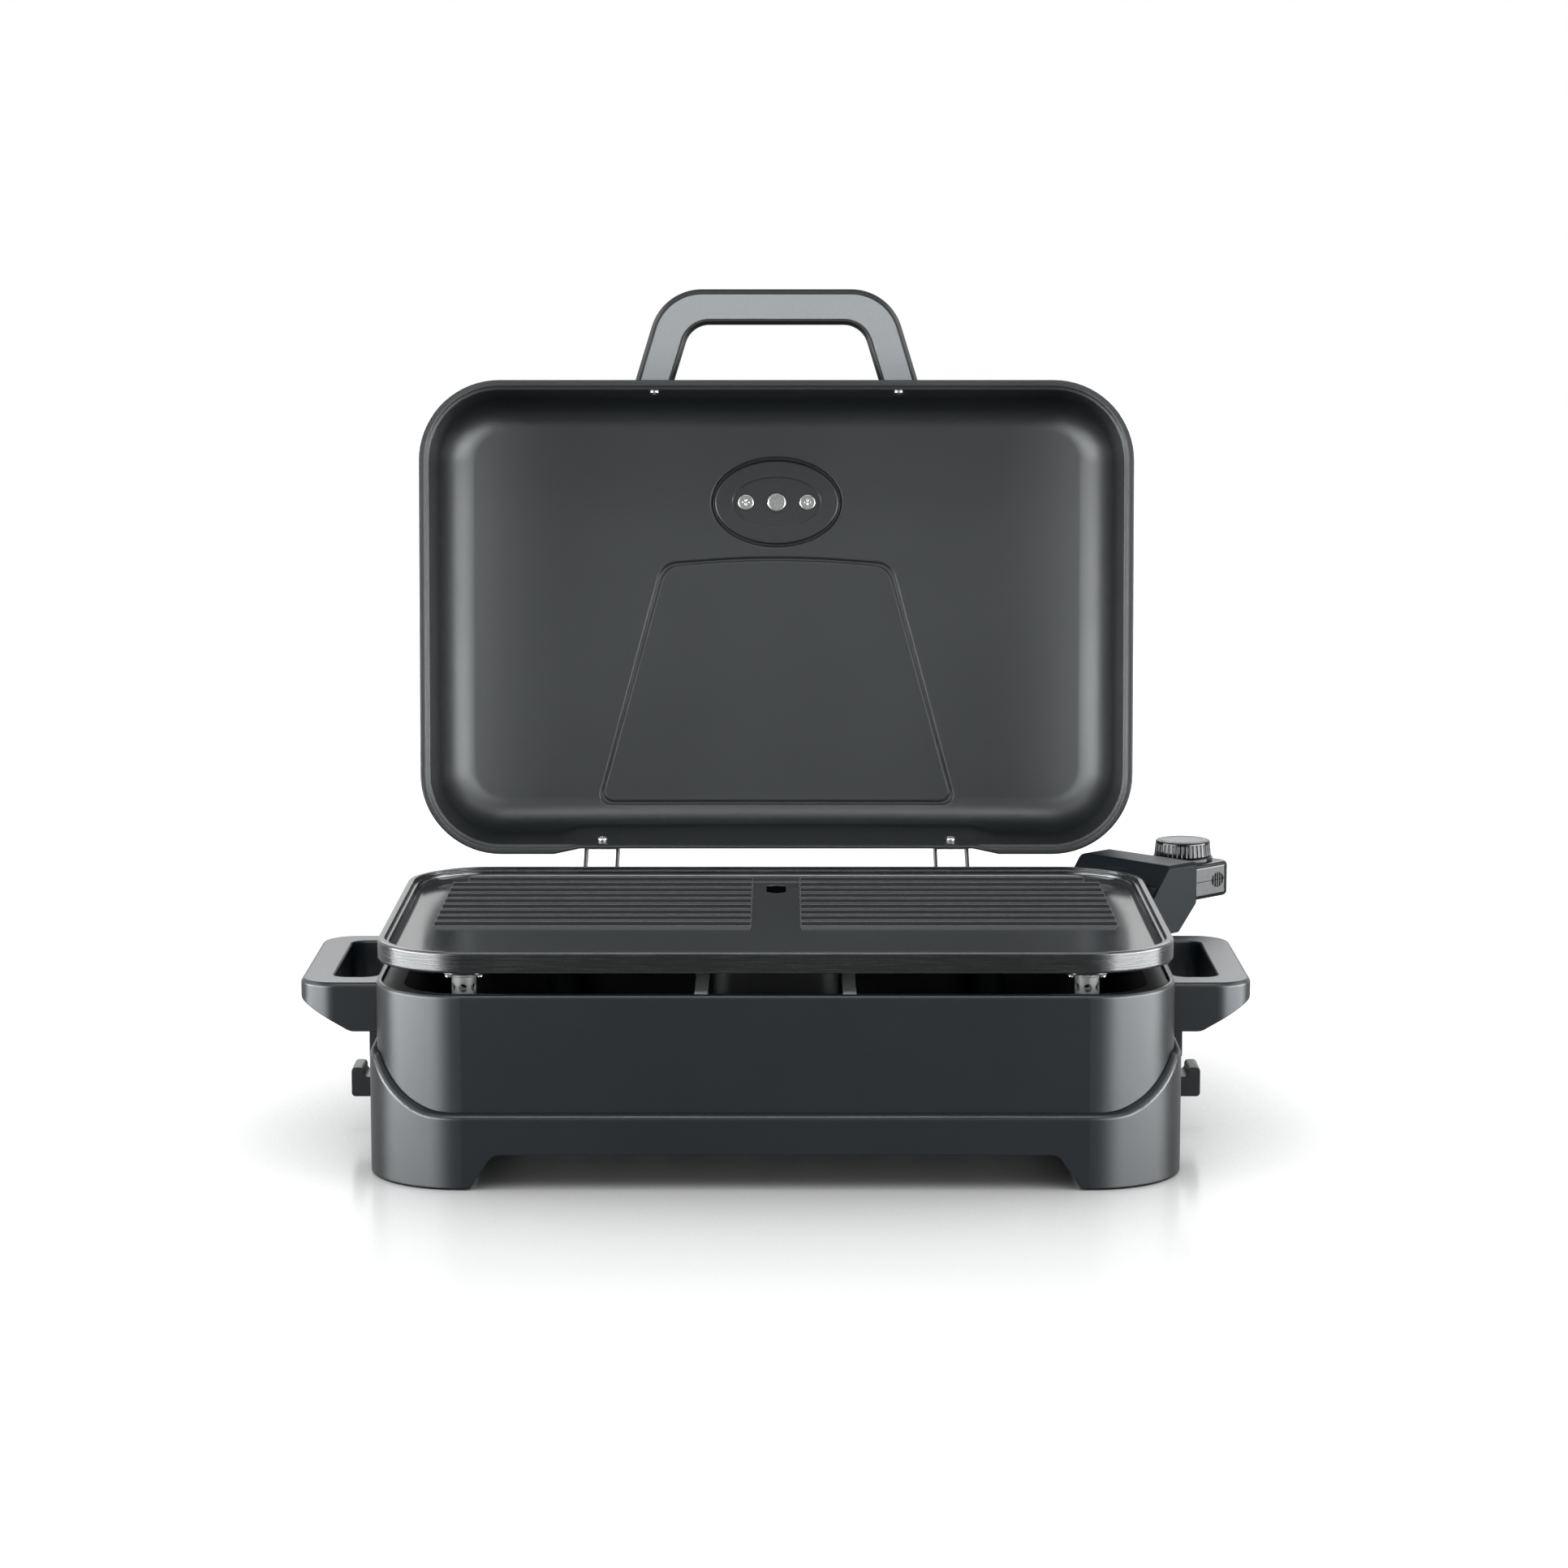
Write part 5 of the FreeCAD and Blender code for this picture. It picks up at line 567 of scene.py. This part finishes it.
def raised_ring(shape, matrix, inner, outer, rise, start=0.0, sweep=360.0, steps=96):
    """Flat arc band with a low rise, in the plane of matrix."""
    closed = sweep >= 360.0
    lift = Vector((0, 0, rise))
    rows = []
    for index in range(steps if closed else steps + 1):
        angle = radians(start - sweep * index / steps)
        way = Vector((cos(angle), sin(angle), 0))
        corners = (way * inner, way * outer, way * outer + lift, way * inner + lift)
        rows.append([shape.verts.new(matrix @ corner) for corner in corners])
    pairs = list(zip(rows, rows[1:]))
    if closed:
        pairs.append((rows[-1], rows[0]))
    else:
        shape.faces.new(rows[0])
        shape.faces.new(rows[-1])
    for near, far in pairs:
        for corner in range(4):
            after = (corner + 1) % 4
            shape.faces.new((near[corner], near[after], far[after], far[corner]))


# Thermometer dial: scale, figures and the coloured band

def dial_matrix():
    """Plane of the dial's face: u to the right and v up as read with the lid closed, w out of the lid."""
    joint = JOINTS["thermometer_turn"]
    out = -Vector(joint["axis"]).normalized()
    right = Vector((1, 0, 0))
    top = out.cross(right)
    centre = Vector(joint["pos_m"]) - out * NEEDLE_LIFT
    matrix = Matrix((right, top, out)).transposed().to_4x4()
    matrix.translation = centre
    return matrix


def dial_scale(shape):
    """Long and short marks, joined by a thin line."""
    matrix = dial_matrix()
    fine = DIAL_STEPS * DIAL_FINE_STEPS
    for index in range(fine + 1):
        angle = radians(DIAL_START - DIAL_SWEEP * index / fine)
        start, half = MAIN_MARK if index % DIAL_FINE_STEPS == 0 else FINE_MARK
        way = Vector((cos(angle), sin(angle)))
        side = Vector((-way.y, way.x)) * DIAL_RADIUS * half
        inner = way * DIAL_RADIUS * start
        outer = way * DIAL_RADIUS * MARK_END
        corners = (inner - side, outer - side, outer + side, inner + side)
        raised_outline(shape, matrix, [tuple(corner) for corner in corners], MARK_RISE)
    line_start = DIAL_RADIUS * MARK_END
    line_end = DIAL_RADIUS * SCALE_LINE_END
    raised_ring(shape, matrix, line_start, line_end, MARK_RISE, DIAL_START, DIAL_SWEEP)


def dial_hot_band(shape):
    """Red band along the hot end of the scale."""
    inner = DIAL_RADIUS * HOT_BAND_INNER
    outer = DIAL_RADIUS * HOT_BAND_OUTER
    start = DIAL_START - DIAL_SWEEP * HOT_BAND_START
    raised_ring(shape, dial_matrix(), inner, outer, MARK_RISE, start, DIAL_SWEEP * HOT_BAND_SHARE)


def dial_figures(ink):
    """Plain numbers inside the long marks."""
    matrix = dial_matrix()
    for index in range(DIAL_STEPS + 1):
        angle = radians(DIAL_START - DIAL_SWEEP * index / DIAL_STEPS)
        text = bpy.data.curves.new("dial_figure", "FONT")
        text.body = str(index * DIAL_STEP_VALUE)
        text.size = DIAL_RADIUS * FIGURE_SIZE
        text.align_x = "CENTER"
        text.align_y = "CENTER"
        text.extrude = MARK_RISE / 2
        text.materials.append(ink)
        figure = bpy.data.objects.new("dial_figure_%d" % index, text)
        bpy.context.scene.collection.objects.link(figure)
        spot = Vector((cos(angle), sin(angle), 0)) * DIAL_RADIUS * FIGURE_PLACE
        figure.matrix_world = matrix @ Matrix.Translation(spot + Vector((0, 0, MARK_RISE / 2)))
        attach(figure, "lid")


def build_dial():
    """Printed marks of the dial, which ride on the lid."""
    ink = moulded("dial_ink", (0.015, 0.015, 0.016), 0.5, rubbed=0.0)
    red = moulded("dial_red", (0.5, 0.03, 0.02), 0.45, rubbed=0.0)
    mesh_piece("dial_scale", dial_scale, ink, "lid")
    mesh_piece("dial_hot_band", dial_hot_band, red, "lid")
    dial_figures(ink)


# Knob marks

def knob_matrix():
    """Plane of the knob's top, with u towards the pointer."""
    joint = JOINTS["knob_turn"]
    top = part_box("knob_cap")[1].z
    centre = Vector((joint["pos_m"][0], joint["pos_m"][1], top))
    return Matrix.Translation(centre) @ Matrix.Rotation(radians(KNOB_ZERO), 4, "Z")


def build_knob_marks():
    """Printed ring and pointer, which turn with the knob."""
    pale = moulded("knob_print", (0.5, 0.5, 0.5), 0.4, rubbed=0.0)

    def ring(shape):
        outer = KNOB_RING_RADIUS
        raised_ring(shape, knob_matrix(), outer - KNOB_RING_WIDTH, outer, KNOB_MARK_RISE)

    def pointer(shape):
        points = [(POINTER_START, -POINTER_HALF), (POINTER_SHOULDER, -POINTER_HALF), (POINTER_TIP, 0),
                  (POINTER_SHOULDER, POINTER_HALF), (POINTER_START, POINTER_HALF)]
        raised_outline(shape, knob_matrix(), points, KNOB_MARK_RISE)

    mesh_piece("knob_ring", ring, pale, "knob")
    mesh_piece("knob_pointer", pointer, pale, "knob")


# Stage, light and camera

def white_world():
    """White backdrop to the camera and in reflections, a dim room behind the camera, soft fill for the rest."""
    world = bpy.data.worlds.new("studio")
    bpy.context.scene.world = world
    world.use_nodes = True
    tree = world.node_tree
    tree.nodes.clear()
    path = tree.nodes.new("ShaderNodeLightPath")
    seen = maths(tree, "MAXIMUM", path.outputs["Is Camera Ray"], path.outputs["Is Transmission Ray"])
    way = axis_of(tree, tree.nodes.new("ShaderNodeTexCoord").outputs["Generated"], "Y")
    backdrop = remapped(tree, way, BACKDROP_START, BACKDROP_FULL, ROOM_LEVEL, 1.0)
    mirrored = maths(tree, "MULTIPLY", path.outputs["Is Glossy Ray"], backdrop)
    level = maths(tree, "MAXIMUM", maths(tree, "MAXIMUM", mirrored, seen), FILL_LEVEL)
    light = tree.nodes.new("ShaderNodeBackground")
    light.inputs["Color"].default_value = colour(1, 1, 1)
    feed(tree, light.inputs["Strength"], level)
    output = tree.nodes.new("ShaderNodeOutputWorld")
    tree.links.new(light.outputs["Background"], output.inputs["Surface"])


def floor_material():
    """Pale glossy table: white to the camera, keeping the shadow and a faint mirror image."""
    material, tree, shader = new_material("pale_table")
    shader.inputs["Base Color"].default_value = colour(TABLE_TINT, TABLE_TINT, TABLE_TINT)
    shader.inputs["Roughness"].default_value = TABLE_GLOSS
    shelter = tree.nodes.new("ShaderNodeAmbientOcclusion")
    shelter.samples = SHADOW_SAMPLES
    shelter.inputs["Distance"].default_value = SHADOW_REACH
    path = tree.nodes.new("ShaderNodeLightPath")
    open_sky = maths(tree, "POWER", shelter.outputs["AO"], SHADOW_DEPTH)
    glow = maths(tree, "MULTIPLY", path.outputs["Is Camera Ray"], open_sky)
    shader.inputs["Emission Color"].default_value = colour(1, 1, 1)
    feed(tree, shader.inputs["Emission Strength"], maths(tree, "MULTIPLY", glow, TABLE_GLOW))
    return material


def build_stage():
    """Flat table under the grill."""
    mesh = bpy.data.meshes.new("table_top")
    corners = [(u * TABLE_HALF, v * TABLE_HALF, 0) for u, v in ((-1, -1), (1, -1), (1, 1), (-1, 1))]
    mesh.from_pydata(corners, [], [(0, 1, 2, 3)])
    mesh.materials.append(floor_material())
    table = bpy.data.objects.new("table_top", mesh)
    bpy.context.scene.collection.objects.link(table)


def soft_box(name, kind, place, target, width, height, radiance):
    """Rectangular lamp with an even face, as bright as radiance says."""
    lamp = bpy.data.lights.new(name, "AREA")
    lamp.shape = "RECTANGLE"
    lamp.size = width
    lamp.size_y = height
    lamp.energy = radiance * pi * width * height
    lamp.color = LAMP_TINT
    holder = bpy.data.objects.new(name, lamp)
    holder.location = place
    holder.rotation_euler = (Vector(target) - Vector(place)).to_track_quat("-Z", "Y").to_euler()
    holder.visible_diffuse = kind not in HIGHLIGHT_LAMPS
    holder.visible_glossy = kind not in DULL_LAMPS
    bpy.context.scene.collection.objects.link(holder)


def on_side(point, side):
    """A point on the right, or its mirror image on the left."""
    return (point[0] * side, point[1], point[2])


def build_lights():
    """White room, then the lamps on both sides and in the middle."""
    white_world()
    for name, side in (("left", -1), ("right", 1)):
        for kind, (place, target, *face) in PAIRED_LAMPS.items():
            soft_box(name + "_" + kind, kind, on_side(place, side), on_side(target, side), *face)
    for kind, lamp in SINGLE_LAMPS.items():
        soft_box(kind, kind, *lamp)


def build_camera():
    """Camera where the photograph was taken from."""
    lens = bpy.data.cameras.new("photo_camera")
    lens.lens = CAMERA_LENS
    lens.sensor_width = CAMERA_SENSOR
    lens.sensor_fit = "HORIZONTAL"
    lens.clip_end = CAMERA_REACH
    camera = bpy.data.objects.new("photo_camera", lens)
    camera.location = CAMERA_PLACE
    camera.rotation_euler = (radians(90 - CAMERA_PITCH), 0, 0)
    bpy.context.scene.collection.objects.link(camera)
    bpy.context.scene.camera = camera


dress_nodes()
build_dial()
build_knob_marks()
build_stage()
build_lights()
build_camera()
bpy.context.scene.view_settings.view_transform = "Standard"
